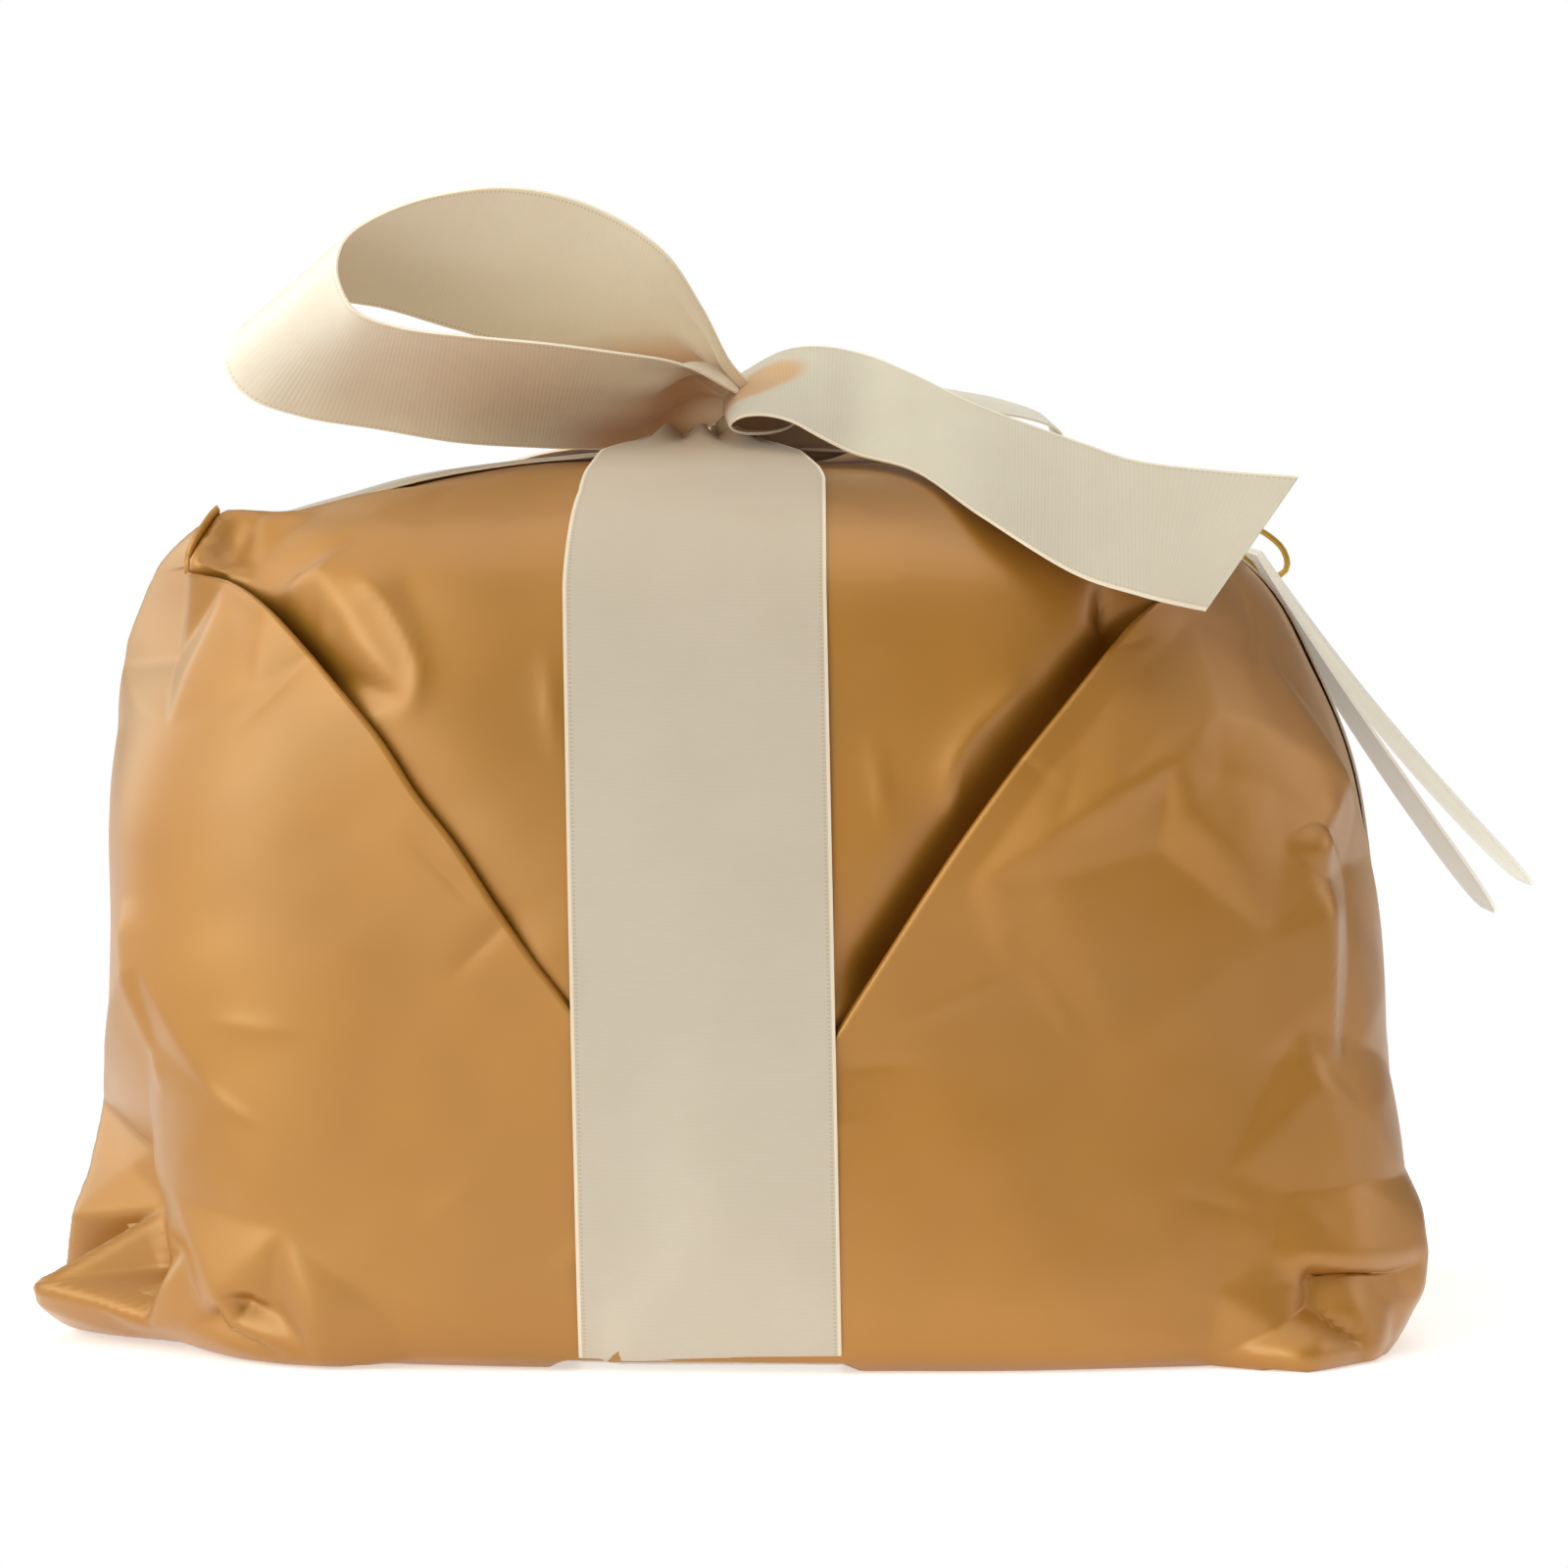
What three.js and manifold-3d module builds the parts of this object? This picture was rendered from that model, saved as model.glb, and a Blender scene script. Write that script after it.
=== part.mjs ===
// A hand-wrapped panettone: a domed loaf in its baking paper and inner bag, folded up in one sheet of gold film,
// tied crosswise with a wide satin ribbon that ends in a bow, with a folded gift tag on a gold thread.
// Millimetres, +Z up. The front of the parcel faces -Y. The origin is at the middle of the base.
import * as THREE from "three";
import { mergeVertices } from "three/addons/utils/BufferGeometryUtils.js";
import Module from "manifold-3d";

const wasm = await Module();
wasm.setup();

// ---------- driving dimensions ----------

const GAP = 0.4; // clearance kept between neighbouring pieces
const RIBBON = { width: 40, thick: 0.8 };
const FILM = { wall: 1.2, base: 3.6 }; // the folded film's wall and its layered base
const LOAF = { centre: 4, radius: 87, floor: 6.4, crown: 126 };
const CUP = { wall: 0.8, height: 88 };
const BAG = { wall: 0.6, floor: 4.1 };
const THREAD = { radius: 0.5, sides: 8, steps: 64 };
const TAG = { width: 44, length: 71, thick: 0.6, corner: 9, hole: 2.2, holeFromFold: 6.5 };
const FRONT_BAND_X = -2; // middle of the ribbon that runs over the front and back
const SIDE_BAND_Y = 0; // middle of the ribbon that runs over the two sides
const CROSSING = { level: 3, ramp: 3, crown: 19 }; // how far past the ribbon's edge the upper one stays lifted
const RING_POINTS = 48;

// Level sections of the wrapped parcel from the base to the crown: how far each reaches to the left, to the right
// and to the front and back, and how square it is (2 is an ellipse).
const SECTIONS = [
  { z: 0, left: 99, right: 102, deep: 93, square: 4.4 },
  { z: 5, left: 100, right: 104, deep: 95.5, square: 4.2 },
  { z: 14, left: 98, right: 106.5, deep: 96.5, square: 3.6 },
  { z: 30, left: 96, right: 107.5, deep: 97, square: 3 },
  { z: 60, left: 95, right: 106.5, deep: 97, square: 2.8 },
  { z: 88, left: 94, right: 102.5, deep: 96.5, square: 2.8 },
  { z: 105, left: 92.5, right: 95.6, deep: 95, square: 2.8 },
  { z: 118, left: 87, right: 87.6, deep: 92, square: 3 },
  { z: 126, left: 80, right: 79.8, deep: 87, square: 3 },
  { z: 131.5, left: 71, right: 70, deep: 79, square: 2.8 },
  { z: 135.5, left: 55, right: 55, deep: 61, square: 2.4 },
  { z: 138.3, left: 36, right: 36, deep: 40, square: 2.2 },
  { z: 139.6, left: 18, right: 18, deep: 19, square: 2 },
  { z: 140, left: 7, right: 7, deep: 7, square: 2 },
];

// Flattened pleats that stand out at the foot of the parcel: direction, reach, spread and height.
const EARS = [
  { angle: 200, reach: 12, spread: 7, height: 12 },
  { angle: -36, reach: 17, spread: 9, height: 18 },
  { angle: 37, reach: 6, spread: 8, height: 16 },
  { angle: 143, reach: 7, spread: 8, height: 14 },
];

const radians = THREE.MathUtils.degToRad;
const point = (x, y, z) => new THREE.Vector3(x, y, z);

// ---------- mesh helpers ----------

// A closed solid from a row of closed loops with the same number of points. The ends are capped, or joined when
// the row itself closes. Loops run anticlockwise as seen from the far end of the row.
function loopSolid(loops, closed = false) {
  const around = loops[0].length;
  const places = loops.flat();
  const faces = [];
  const rows = closed ? loops.length : loops.length - 1;
  for (let row = 0; row < rows; row++) {
    const next = (row + 1) % loops.length;
    for (let i = 0; i < around; i++) {
      const j = (i + 1) % around;
      const [a, b] = [row * around + i, row * around + j];
      const [c, d] = [next * around + j, next * around + i];
      faces.push(a, b, c, a, c, d);
    }
  }
  if (!closed) {
    for (const [row, turn] of [[0, 1], [loops.length - 1, 0]]) {
      const middle = places.length;
      places.push(centroid(loops[row]));
      for (let i = 0; i < around; i++) {
        const [a, b] = [row * around + i, row * around + ((i + 1) % around)];
        faces.push(...(turn ? [middle, b, a] : [middle, a, b]));
      }
    }
  }
  const geometry = new THREE.BufferGeometry().setFromPoints(places);
  geometry.setIndex(faces);
  geometry.computeVertexNormals();
  return geometry;
}

function centroid(loop) {
  return loop.reduce((sum, p) => sum.add(p), point(0, 0, 0)).divideScalar(loop.length);
}

function toSolid(geometry) {
  const bare = geometry.clone();
  bare.deleteAttribute("normal");
  bare.deleteAttribute("uv");
  const merged = mergeVertices(bare, 1e-4);
  return new wasm.Manifold(
    new wasm.Mesh({
      numProp: 3,
      vertProperties: merged.attributes.position.array,
      triVerts: new Uint32Array(merged.index.array),
    }),
  );
}

function toGeometry(solid) {
  const mesh = solid.getMesh();
  const geometry = new THREE.BufferGeometry();
  geometry.setAttribute("position", new THREE.BufferAttribute(mesh.vertProperties, 3));
  geometry.setIndex(new THREE.BufferAttribute(mesh.triVerts, 1));
  geometry.computeVertexNormals();
  return geometry;
}

function cut(geometry, ...tools) {
  return toGeometry(tools.reduce((left, tool) => left.subtract(toSolid(tool)), toSolid(geometry)));
}

function box(low, high) {
  const size = high.clone().sub(low);
  const middle = low.clone().add(high).multiplyScalar(0.5);
  return new THREE.BoxGeometry(size.x, size.y, size.z).translate(middle.x, middle.y, middle.z);
}

function turned(profile, sides) {
  return new THREE.LatheGeometry(profile.map(([r, z]) => new THREE.Vector2(r, z)), sides)
    .rotateX(Math.PI / 2)
    .translate(LOAF.centre, 0, 0);
}

// ---------- the parcel's shape ----------

// One level loop of the parcel, drawn in by inset.
function parcelLoop(section, inset = 0, z = section.z) {
  const loop = [];
  for (let i = 0; i < RING_POINTS; i++) {
    const angle = (i / RING_POINTS) * 360;
    const [c, s] = [Math.cos(radians(angle)), Math.sin(radians(angle))];
    const across = (c < 0 ? section.left : section.right) - inset;
    const deep = section.deep - inset;
    const power = section.square;
    const reach = (Math.abs(c / across) ** power + Math.abs(s / deep) ** power) ** (-1 / power);
    const r = reach + (inset ? 0 : earReach(angle, section.z));
    loop.push(point(r * c, r * s, z));
  }
  return loop;
}

function earReach(angle, z) {
  return EARS.reduce((sum, ear) => {
    const away = ((angle - ear.angle + 540) % 360) - 180;
    return sum + ear.reach * Math.exp(-((away / ear.spread) ** 2)) * Math.exp(-(((z - 4) / ear.height) ** 2));
  }, 0);
}

function goldWrap() {
  const outside = SECTIONS.map((section) => parcelLoop(section));
  const inside = SECTIONS.filter((section) => section.z > FILM.base)
    .map((section) => parcelLoop(section, FILM.wall, section.z - FILM.wall))
    .reverse();
  const floor = parcelLoop(SECTIONS[1], FILM.wall + 2, FILM.base);
  const shell = loopSolid([...outside, ...inside.slice(0, -1), floor]);
  return cut(shell, ...ribbonChannels());
}

// Where the ribbon presses into the layered base, so that film and ribbon stand flush.
function ribbonChannels() {
  const half = RIBBON.width / 2 + GAP;
  const single = RIBBON.thick + GAP;
  const wide = half + CROSSING.level + CROSSING.ramp + 2;
  const far = 130;
  const below = -1;
  const channel = (halfX, halfY, depth) =>
    box(
      point(FRONT_BAND_X - halfX, SIDE_BAND_Y - halfY, below),
      point(FRONT_BAND_X + halfX, SIDE_BAND_Y + halfY, depth),
    );
  return [channel(half, far, single), channel(far, half, single), channel(wide, half, 2 * single)];
}

// ---------- the ribbon ----------

// How far the parcel reaches within the ribbon's width, at each level: to the negative and to the positive side.
function reachUnderBand(along, across, middle) {
  return SECTIONS.map((section) => {
    const loop = parcelLoop(section);
    const fine = loop.flatMap((p, i) => {
      const q = loop[(i + 1) % loop.length];
      return [0, 0.25, 0.5, 0.75].map((t) => p.clone().lerp(q, t));
    });
    const under = fine.filter((p) => Math.abs(p[across] - middle) <= RIBBON.width / 2 + 1);
    return {
      z: section.z,
      low: Math.min(...under.map((p) => p[along])),
      high: Math.max(...under.map((p) => p[along])),
    };
  });
}

// A band of ribbon right round the parcel. Where it crosses the other band it is lifted over it, on top or below.
function ribbonBand(along, across, middle, over) {
  const out = GAP + RIBBON.thick / 2;
  const levels = reachUnderBand(along, across, middle).slice(1, -1);
  const up = levels.map((level) => [level.low, level.z]);
  const down = levels.map((level) => [level.high, level.z]).reverse();
  const foot = levels[0];
  const crossing = RIBBON.width / 2 + CROSSING.level;
  const ramp = crossing + CROSSING.ramp;
  const centre = along === "x" ? FRONT_BAND_X : SIDE_BAND_Y;
  const lift = RIBBON.thick + GAP;
  const skirt = [...up, ...down].map(([reach, z], i, path) => {
    const before = path[Math.max(i - 1, 0)];
    const after = path[Math.min(i + 1, path.length - 1)];
    const normal = new THREE.Vector2(-(after[1] - before[1]), after[0] - before[0]).normalize();
    const raise = over === "top" && Math.abs(reach - centre) < RIBBON.width / 2 + CROSSING.crown ? lift : 0;
    return [reach + normal.x * out, z + normal.y * out + raise];
  });
  const under = over === "base" ? lift : 0;
  const ground = RIBBON.thick / 2;
  const base = [
    [foot.high + out, ground],
    [centre + ramp, ground],
    [centre + crossing, ground + under],
    [centre - crossing, ground + under],
    [centre - ramp, ground],
    [foot.low - out, ground],
  ];
  const path = [...skirt, ...base];
  const loops = path.map(([h, z], i) => {
    const before = path[(i - 1 + path.length) % path.length];
    const after = path[(i + 1) % path.length];
    const normal = new THREE.Vector2(-(after[1] - before[1]), after[0] - before[0]).normalize();
    const level = i >= skirt.length;
    const [nx, nz] = level ? [0, -1] : [normal.x, normal.y];
    const corner = (side, face) => {
      const p = point(0, 0, z + (nz * face * RIBBON.thick) / 2);
      p[along] = h + (nx * face * RIBBON.thick) / 2;
      p[across] = middle + (side * RIBBON.width) / 2;
      return p;
    };
    return [corner(-1, -1), corner(1, -1), corner(1, 1), corner(-1, 1)];
  });
  return loopSolid(along === "x" ? loops : loops.map((loop) => loop.reverse()), true);
}

// A free stretch of ribbon between its near edge and its far edge, each a smooth curve through a few points.
function ribbonStrip(stations, steps) {
  const near = new THREE.CatmullRomCurve3(stations.map(([p]) => point(...p)));
  const far = new THREE.CatmullRomCurve3(stations.map(([, p]) => point(...p)));
  const loops = [];
  for (let i = 0; i <= steps; i++) {
    const t = i / steps;
    const [n, f] = [near.getPoint(t), far.getPoint(t)];
    const along = near.getTangent(t).add(far.getTangent(t)).normalize();
    const face = f.clone().sub(n).cross(along).normalize().multiplyScalar(RIBBON.thick / 2);
    loops.push([n.clone().sub(face), f.clone().sub(face), f.clone().add(face), n.clone().add(face)]);
  }
  return loopSolid(loops.map((loop) => loop.reverse()));
}

// Stations of the free ribbon: [near edge, far edge], from the knot outwards.
const LEFT_LOOP = [
  [[-1.5, -12, 145.2], [-1.5, -4, 144.2]],
  [[-7, -25, 151], [-6, 0, 143.4]],
  [[-15, -39, 156.5], [-15, -3, 143.2]],
  [[-27, -45, 157.8], [-28, -5, 143]],
  [[-39, -47, 158.4], [-42, -8, 143.2]],
  [[-50, -47, 159.4], [-56, -10, 145.4]],
  [[-57, -47, 162], [-68, -12, 147.8]],
  [[-59.5, -47, 166], [-76, -14, 150.6]],
  [[-60, -47, 169.5], [-79, -15, 155.4]],
  [[-58.5, -47, 173.5], [-77, -15, 161.4]],
  [[-53.5, -47, 177], [-69, -15, 165.4]],
  [[-45, -47, 180], [-57, -14, 165.8]],
  [[-33, -46, 181.4], [-44, -12, 161.6]],
  [[-20.5, -42, 179.2], [-30, -8, 157.2]],
  [[-10.5, -36, 172.8], [-15, -5, 153.8]],
  [[-4.5, -24, 163.6], [-6, -2, 151.4]],
  [[-2, -14, 155.5], [-2, -2, 149]],
];
const FRONT_TAIL = [
  [[13.5, -22, 145.2], [13.5, 6, 145.4]],
  [[10.5, -27, 143.3], [11, 7, 143.5]],
  [[6.5, -30, 142.6], [6, 6, 143.1]],
  [[2.9, -32, 142.9], [1.6, 5, 144]],
  [[1.8, -33, 143.9], [0.2, 4, 147]],
  [[3.4, -34, 145.2], [1.2, 2, 150.4]],
  [[7, -36, 145.6], [5, 0, 153.2]],
  [[11.5, -39, 144.6], [10.5, -3, 156]],
  [[16, -42.5, 142.2], [16.5, -6.5, 156.6]],
  [[21.3, -46, 139.6], [23.1, -10, 155.4]],
  [[30.5, -62, 137], [30.9, -25, 152.2]],
  [[40.6, -84, 130.2], [41.7, -46, 146.8]],
  [[55.1, -94.5, 121.4], [56.9, -57, 141.2]],
  [[63.9, -97, 118.6], [65.4, -61, 138.4]],
  [[69.4, -97.5, 117.2], [78, -62.5, 136.9]],
  [[74.1, -97, 116.2], [90.2, -65, 136]],
];
const RIGHT_LOOP = [
  [[15.5, -12, 145.4], [15, 8, 146.2]],
  [[22, -10, 146.4], [21, 21, 150]],
  [[31, -8, 146.6], [29, 28, 152]],
  [[41, -6, 146], [39, 31, 150.6]],
  [[50, -4, 145], [48, 33, 148.2]],
  [[55.5, -3, 142.8], [54.5, 35, 144.8]],
  [[56, -3, 140.2], [55.5, 36, 141]],
  [[51, -4, 139.2], [50, 35, 138.6]],
  [[41, -6, 141], [39, 32, 139.8]],
  [[30, -8, 142.4], [29, 28, 141]],
  [[21, -10, 143.2], [21, 18, 142.4]],
  [[15.5, -10, 143.4], [15, 6, 143.6]],
];
const BACK_TAIL = [
  [[1, 12, 145.6], [12, 13, 145.8]],
  [[-9, 24, 144.6], [13, 30, 145]],
  [[-23, 38, 142.4], [9, 50, 142.6]],
  [[-33, 56, 139.6], [3, 71, 137.6]],
  [[-41, 74, 135.4], [-4, 87, 131.6]],
  [[-47, 86, 128], [-11, 95.6, 122]],
  [[-51, 92, 115], [-14, 98.4, 108]],
  [[-53, 94, 101], [-15, 99.3, 96]],
  [[-51, 96, 88], [-16, 99.6, 74]],
];

const KNOT = { place: point(7.4, -4, 147.6), reach: point(4.2, 9.5, 3.2) };

function knotCore() {
  return new THREE.SphereGeometry(1, 20, 12)
    .scale(KNOT.reach.x, KNOT.reach.y, KNOT.reach.z)
    .translate(KNOT.place.x, KNOT.place.y, KNOT.place.z);
}

// ---------- inside the wrap ----------

function loaf() {
  const { radius, floor, crown } = LOAF;
  const inCup = radius - CUP.wall - GAP;
  const rim = floor + CUP.height;
  return turned(
    [
      [0, floor],
      [inCup - 3, floor],
      [inCup, floor + 3],
      [inCup, rim + 1],
      [radius + 0.6, rim + 5],
      [radius, rim + 10],
      [radius - 6, rim + 17],
      [radius - 19, rim + 24],
      [radius - 38, crown - 4],
      [radius - 60, crown - 1],
      [0, crown],
    ],
    40,
  );
}

function bakingCup() {
  const { radius, floor } = LOAF;
  const base = floor - GAP - CUP.wall;
  const top = floor + CUP.height;
  return turned(
    [
      [0, base],
      [radius - 2, base],
      [radius, base + 2],
      [radius, top],
      [radius - CUP.wall, top],
      [radius - CUP.wall, base + CUP.wall + 1.6],
      [radius - CUP.wall - 1.6, base + CUP.wall],
      [0, base + CUP.wall],
    ],
    40,
  );
}

function innerBag() {
  const { radius, crown, floor } = LOAF;
  const rim = floor + CUP.height;
  const outside = [
    [0, BAG.floor],
    [radius - 1, BAG.floor],
    [radius + 2, BAG.floor + 4],
    [radius + 2.4, rim + 8],
    [radius - 1, rim + 16],
    [radius - 14, rim + 25],
    [radius - 34, crown + 0.5],
    [radius - 62, crown + 3],
    [5, crown + 4],
    [3.4, crown + 6],
    [5.5, crown + 10],
  ];
  const inside = outside.map(([r, z], i) => {
    if (i === 0) return [0, z + BAG.wall];
    const [across, down] = i > 6 ? [i > 8 ? BAG.wall : 0, i > 8 ? 0 : BAG.wall] : [BAG.wall, BAG.wall];
    return [r - across, i < 2 ? z + BAG.wall : z - (i > 3 ? down : 0)];
  });
  return turned([...outside, ...inside.reverse()], 40);
}

function bagTie() {
  const z = LOAF.crown + 6;
  const ring = [[4.6, z - 0.9], [5.8, z - 0.9], [5.8, z + 0.9], [4.6, z + 0.9], [4.6, z - 0.9]];
  return turned(ring, 24);
}

// ---------- the gift tag and its thread ----------

// Lays a tag leaf in place: hole end up on the parcel's right shoulder, free end out to the right and down.
const TAG_FOLD = point(87.4, 0, 124.2);
const TAG_SLOPES = { inner: 56, outer: 50.5 };

function tagLeaf(slope, offset) {
  const { width, length, thick, corner } = TAG;
  const half = width / 2;
  const outline = new THREE.Shape();
  outline.moveTo(0, -half);
  outline.lineTo(length - corner, -half);
  outline.quadraticCurveTo(length, -half, length, -half + corner);
  outline.lineTo(length, half - corner);
  outline.quadraticCurveTo(length, half, length - corner, half);
  outline.lineTo(0, half);
  outline.closePath();
  return new THREE.ExtrudeGeometry(outline, { depth: thick, bevelEnabled: false, curveSegments: 6 })
    .translate(0, 0, offset)
    .rotateY(radians(slope))
    .translate(TAG_FOLD.x, TAG_FOLD.y, TAG_FOLD.z);
}

function giftTag() {
  const fold = new THREE.CylinderGeometry(TAG.thick, TAG.thick, TAG.width, 12).translate(
    TAG_FOLD.x,
    TAG_FOLD.y,
    TAG_FOLD.z,
  );
  const middle = (TAG_SLOPES.inner + TAG_SLOPES.outer) / 2;
  const punch = new THREE.CylinderGeometry(TAG.hole, TAG.hole, 16, 16)
    .rotateX(Math.PI / 2)
    .translate(TAG.holeFromFold, 0, 0)
    .rotateY(radians(middle))
    .translate(TAG_FOLD.x, TAG_FOLD.y, TAG_FOLD.z);
  const card = toSolid(tagLeaf(TAG_SLOPES.inner, -TAG.thick))
    .add(toSolid(tagLeaf(TAG_SLOPES.outer, 0)))
    .add(toSolid(fold));
  return toGeometry(card.subtract(toSolid(punch)));
}

// The thread leaves the knot, lies along the ribbon on top, and goes through the tag's hole and round itself.
const THREAD_ROUTE = [
  [15.6, -13.4, 144.6],
  [19.5, -14.2, 143.2],
  [25, -14.5, 141.8],
  [36, -14, 140.6],
  [50, -12, 138.6],
  [60, -9, 136.8],
  [70, -6, 134.2],
  [79, -3, 130.6],
  [85, -1.2, 127.9],
  [88.8, -0.2, 126.5],
  [92.4, 0, 123.4],
  [93, 0.1, 120.4],
  [91.4, 0.2, 119],
  [90, 0.4, 118.5],
  [88.1, 0.8, 120.2],
  [85.6, 1.2, 122.5],
  [84, 1.4, 124.8],
];

function tagThread() {
  const route = new THREE.CatmullRomCurve3(THREAD_ROUTE.map((p) => point(...p)));
  const section = new THREE.Shape();
  for (let i = 0; i < THREAD.sides; i++) {
    const angle = (i / THREAD.sides) * 2 * Math.PI;
    const [x, y] = [THREAD.radius * Math.cos(angle), THREAD.radius * Math.sin(angle)];
    if (i) section.lineTo(x, y);
    else section.moveTo(x, y);
  }
  return new THREE.ExtrudeGeometry(section, { steps: THREAD.steps, extrudePath: route, bevelEnabled: false });
}

// ---------- materials and assembly ----------

const finish = (color, roughness, metalness = 0) =>
  new THREE.MeshStandardMaterial({ color, roughness, metalness });

const goldFilm = finish(0xc08a3e, 0.38, 0.85);
const satin = finish(0xd9cdb8, 0.5);
const crust = finish(0x8a4b1e, 0.8);
const bakingPaper = finish(0x5b3a22, 0.85);
const clearFilm = finish(0xe8eef0, 0.15);
const card = finish(0xd8d5cc, 0.55);
const goldThread = finish(0xb8973f, 0.35, 0.7);

const part = new THREE.Group();

function add(name, geometry, material) {
  const mesh = new THREE.Mesh(geometry, material);
  mesh.name = name;
  part.add(mesh);
}

add("panettone_loaf", loaf(), crust);
add("baking_paper_cup", bakingCup(), bakingPaper);
add("inner_bag", innerBag(), clearFilm);
add("bag_tie", bagTie(), goldThread);
add("gold_wrap", goldWrap(), goldFilm);
add("ribbon_front_band", ribbonBand("y", "x", FRONT_BAND_X, "top"), satin);
add("ribbon_side_band", ribbonBand("x", "y", SIDE_BAND_Y, "base"), satin);
add("ribbon_knot", knotCore(), satin);
add("bow_loop_left", ribbonStrip(LEFT_LOOP, 34), satin);
add("bow_loop_right", ribbonStrip(RIGHT_LOOP, 28), satin);
add("ribbon_tail_front", ribbonStrip(FRONT_TAIL, 36), satin);
add("ribbon_tail_back", ribbonStrip(BACK_TAIL, 20), satin);
add("gift_tag", giftTag(), card);
add("tag_thread", tagThread(), goldThread);

export default part;
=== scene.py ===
"""A hand-wrapped panettone: gold film folded round the loaf, a satin ribbon tied in a bow, and a gift tag.

Lengths in the classes below are millimetres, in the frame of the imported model: +X to the right as seen
from the front, +Z up, the front facing -Y, and the origin at the middle of the base. Meshes are written
in metres.
"""

import logging
import math
from collections.abc import Callable
from dataclasses import dataclass
from enum import Enum

import bpy
import numpy as np
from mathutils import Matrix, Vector
from mathutils.bvhtree import BVHTree
from mathutils.geometry import convex_hull_2d, delaunay_2d_cdt


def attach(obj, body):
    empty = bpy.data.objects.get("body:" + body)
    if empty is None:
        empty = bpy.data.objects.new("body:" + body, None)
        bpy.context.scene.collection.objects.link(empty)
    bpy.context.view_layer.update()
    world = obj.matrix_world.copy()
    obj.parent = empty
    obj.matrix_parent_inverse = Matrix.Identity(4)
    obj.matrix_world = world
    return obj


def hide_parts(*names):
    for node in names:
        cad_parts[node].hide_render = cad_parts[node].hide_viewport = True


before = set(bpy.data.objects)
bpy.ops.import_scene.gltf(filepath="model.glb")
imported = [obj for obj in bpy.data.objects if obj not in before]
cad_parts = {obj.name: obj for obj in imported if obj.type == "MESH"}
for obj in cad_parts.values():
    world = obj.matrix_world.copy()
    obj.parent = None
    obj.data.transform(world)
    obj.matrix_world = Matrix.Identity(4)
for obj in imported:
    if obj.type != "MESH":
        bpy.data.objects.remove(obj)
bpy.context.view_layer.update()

MM = 0.001
FAR = 1e6  # millimetres, past anything here
LOG = logging.getLogger("panettone")


class Side(Enum):
    """The sides of the parcel.

    A place on the front or back is given by x and z, on the left or right by y and z.
    """

    FRONT = "front"
    RIGHT = "right"
    BACK = "back"
    LEFT = "left"


FRONT, RIGHT, BACK, LEFT = Side


# ---------------------------------------------------------------- curves and fields


def smooth_line(points: list | tuple, count: int) -> np.ndarray:
    """Run a smooth curve through a few points, a centripetal one, which never overshoots into a loop.

    Args:
        points: the points that it goes through, each a few numbers.
        count: how many places to return.

    Returns:
        The places, one row each, at equal steps along the curve.
    """
    given = np.array(points, float)
    given = given[np.concatenate([[True], np.linalg.norm(np.diff(given, axis=0), axis=1) > 1e-6])]
    padded = np.vstack([2 * given[0] - given[1], given, 2 * given[-1] - given[-2]])
    knots = np.concatenate([[0], np.cumsum(np.linalg.norm(np.diff(padded, axis=0), axis=1) ** 0.5)])
    fine = []
    for k in range(1, len(padded) - 2):
        p0, p1, p2, p3 = padded[k - 1 : k + 3]
        t0, t1, t2, t3 = knots[k - 1 : k + 3]
        t = np.linspace(t1, t2, 24, endpoint=False)[:, None]
        a1 = (t1 - t) / (t1 - t0) * p0 + (t - t0) / (t1 - t0) * p1
        a2 = (t2 - t) / (t2 - t1) * p1 + (t - t1) / (t2 - t1) * p2
        a3 = (t3 - t) / (t3 - t2) * p2 + (t - t2) / (t3 - t2) * p3
        b1 = (t2 - t) / (t2 - t0) * a1 + (t - t0) / (t2 - t0) * a2
        b2 = (t3 - t) / (t3 - t1) * a2 + (t - t1) / (t3 - t1) * a3
        fine.append((t2 - t) / (t2 - t1) * b1 + (t - t1) / (t2 - t1) * b2)
    fine.append(given[-1:])
    return evenly(np.vstack(fine), count)


def evenly(line: np.ndarray, count: int) -> np.ndarray:
    """Places at equal steps along a polyline.

    Args:
        line: the polyline's points, one row each.
        count: how many places to return.

    Returns:
        The places, from its first end to its last.
    """
    run = np.concatenate([[0], np.cumsum(np.linalg.norm(np.diff(line, axis=0), axis=1))])
    at = np.linspace(0, run[-1], count)
    return np.column_stack([np.interp(at, run, line[:, k]) for k in range(line.shape[1])])


def ease(x: np.ndarray) -> np.ndarray:
    """A smooth step from 0 at x = 0 to 1 at x = 1."""
    t = np.clip(x, 0, 1)
    return t * t * (3 - 2 * t)


def soften(values: np.ndarray, sigma: float) -> np.ndarray:
    """Blur a field that closes on itself along its second axis.

    Args:
        values: the field, rows up the parcel and columns round it.
        sigma: the blur's radius in cells.

    Returns:
        The blurred field.
    """
    reach = max(1, int(3 * sigma))
    offsets = np.arange(-reach, reach + 1)
    weights = np.exp(-0.5 * (offsets / sigma) ** 2)
    weights /= weights.sum()
    round_it = sum(w * np.roll(values, k, axis=1) for k, w in zip(offsets, weights))
    padded = np.pad(round_it, ((reach, reach), (0, 0)), mode="edge")
    rows = values.shape[0]
    return sum(w * padded[reach + k : reach + k + rows] for k, w in zip(offsets, weights))


@dataclass(frozen=True)
class Level:
    """One level section of the parcel: its reach each way, and how square its corners are."""

    height: float
    left: float
    right: float
    deep: float
    square_left: float
    square_right: float
    square_back: float


@dataclass(frozen=True)
class Net:
    """Creased facets: places joined by triangles. Those round its outside hold the film where it is."""

    held: tuple = ()  # (side, first length, second length)
    pulled: tuple = ()  # (x, y, z) that the film is pulled to
    raised: tuple = ()  # (side, first length, second length, rise)
    blur: float = 0.5


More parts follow.
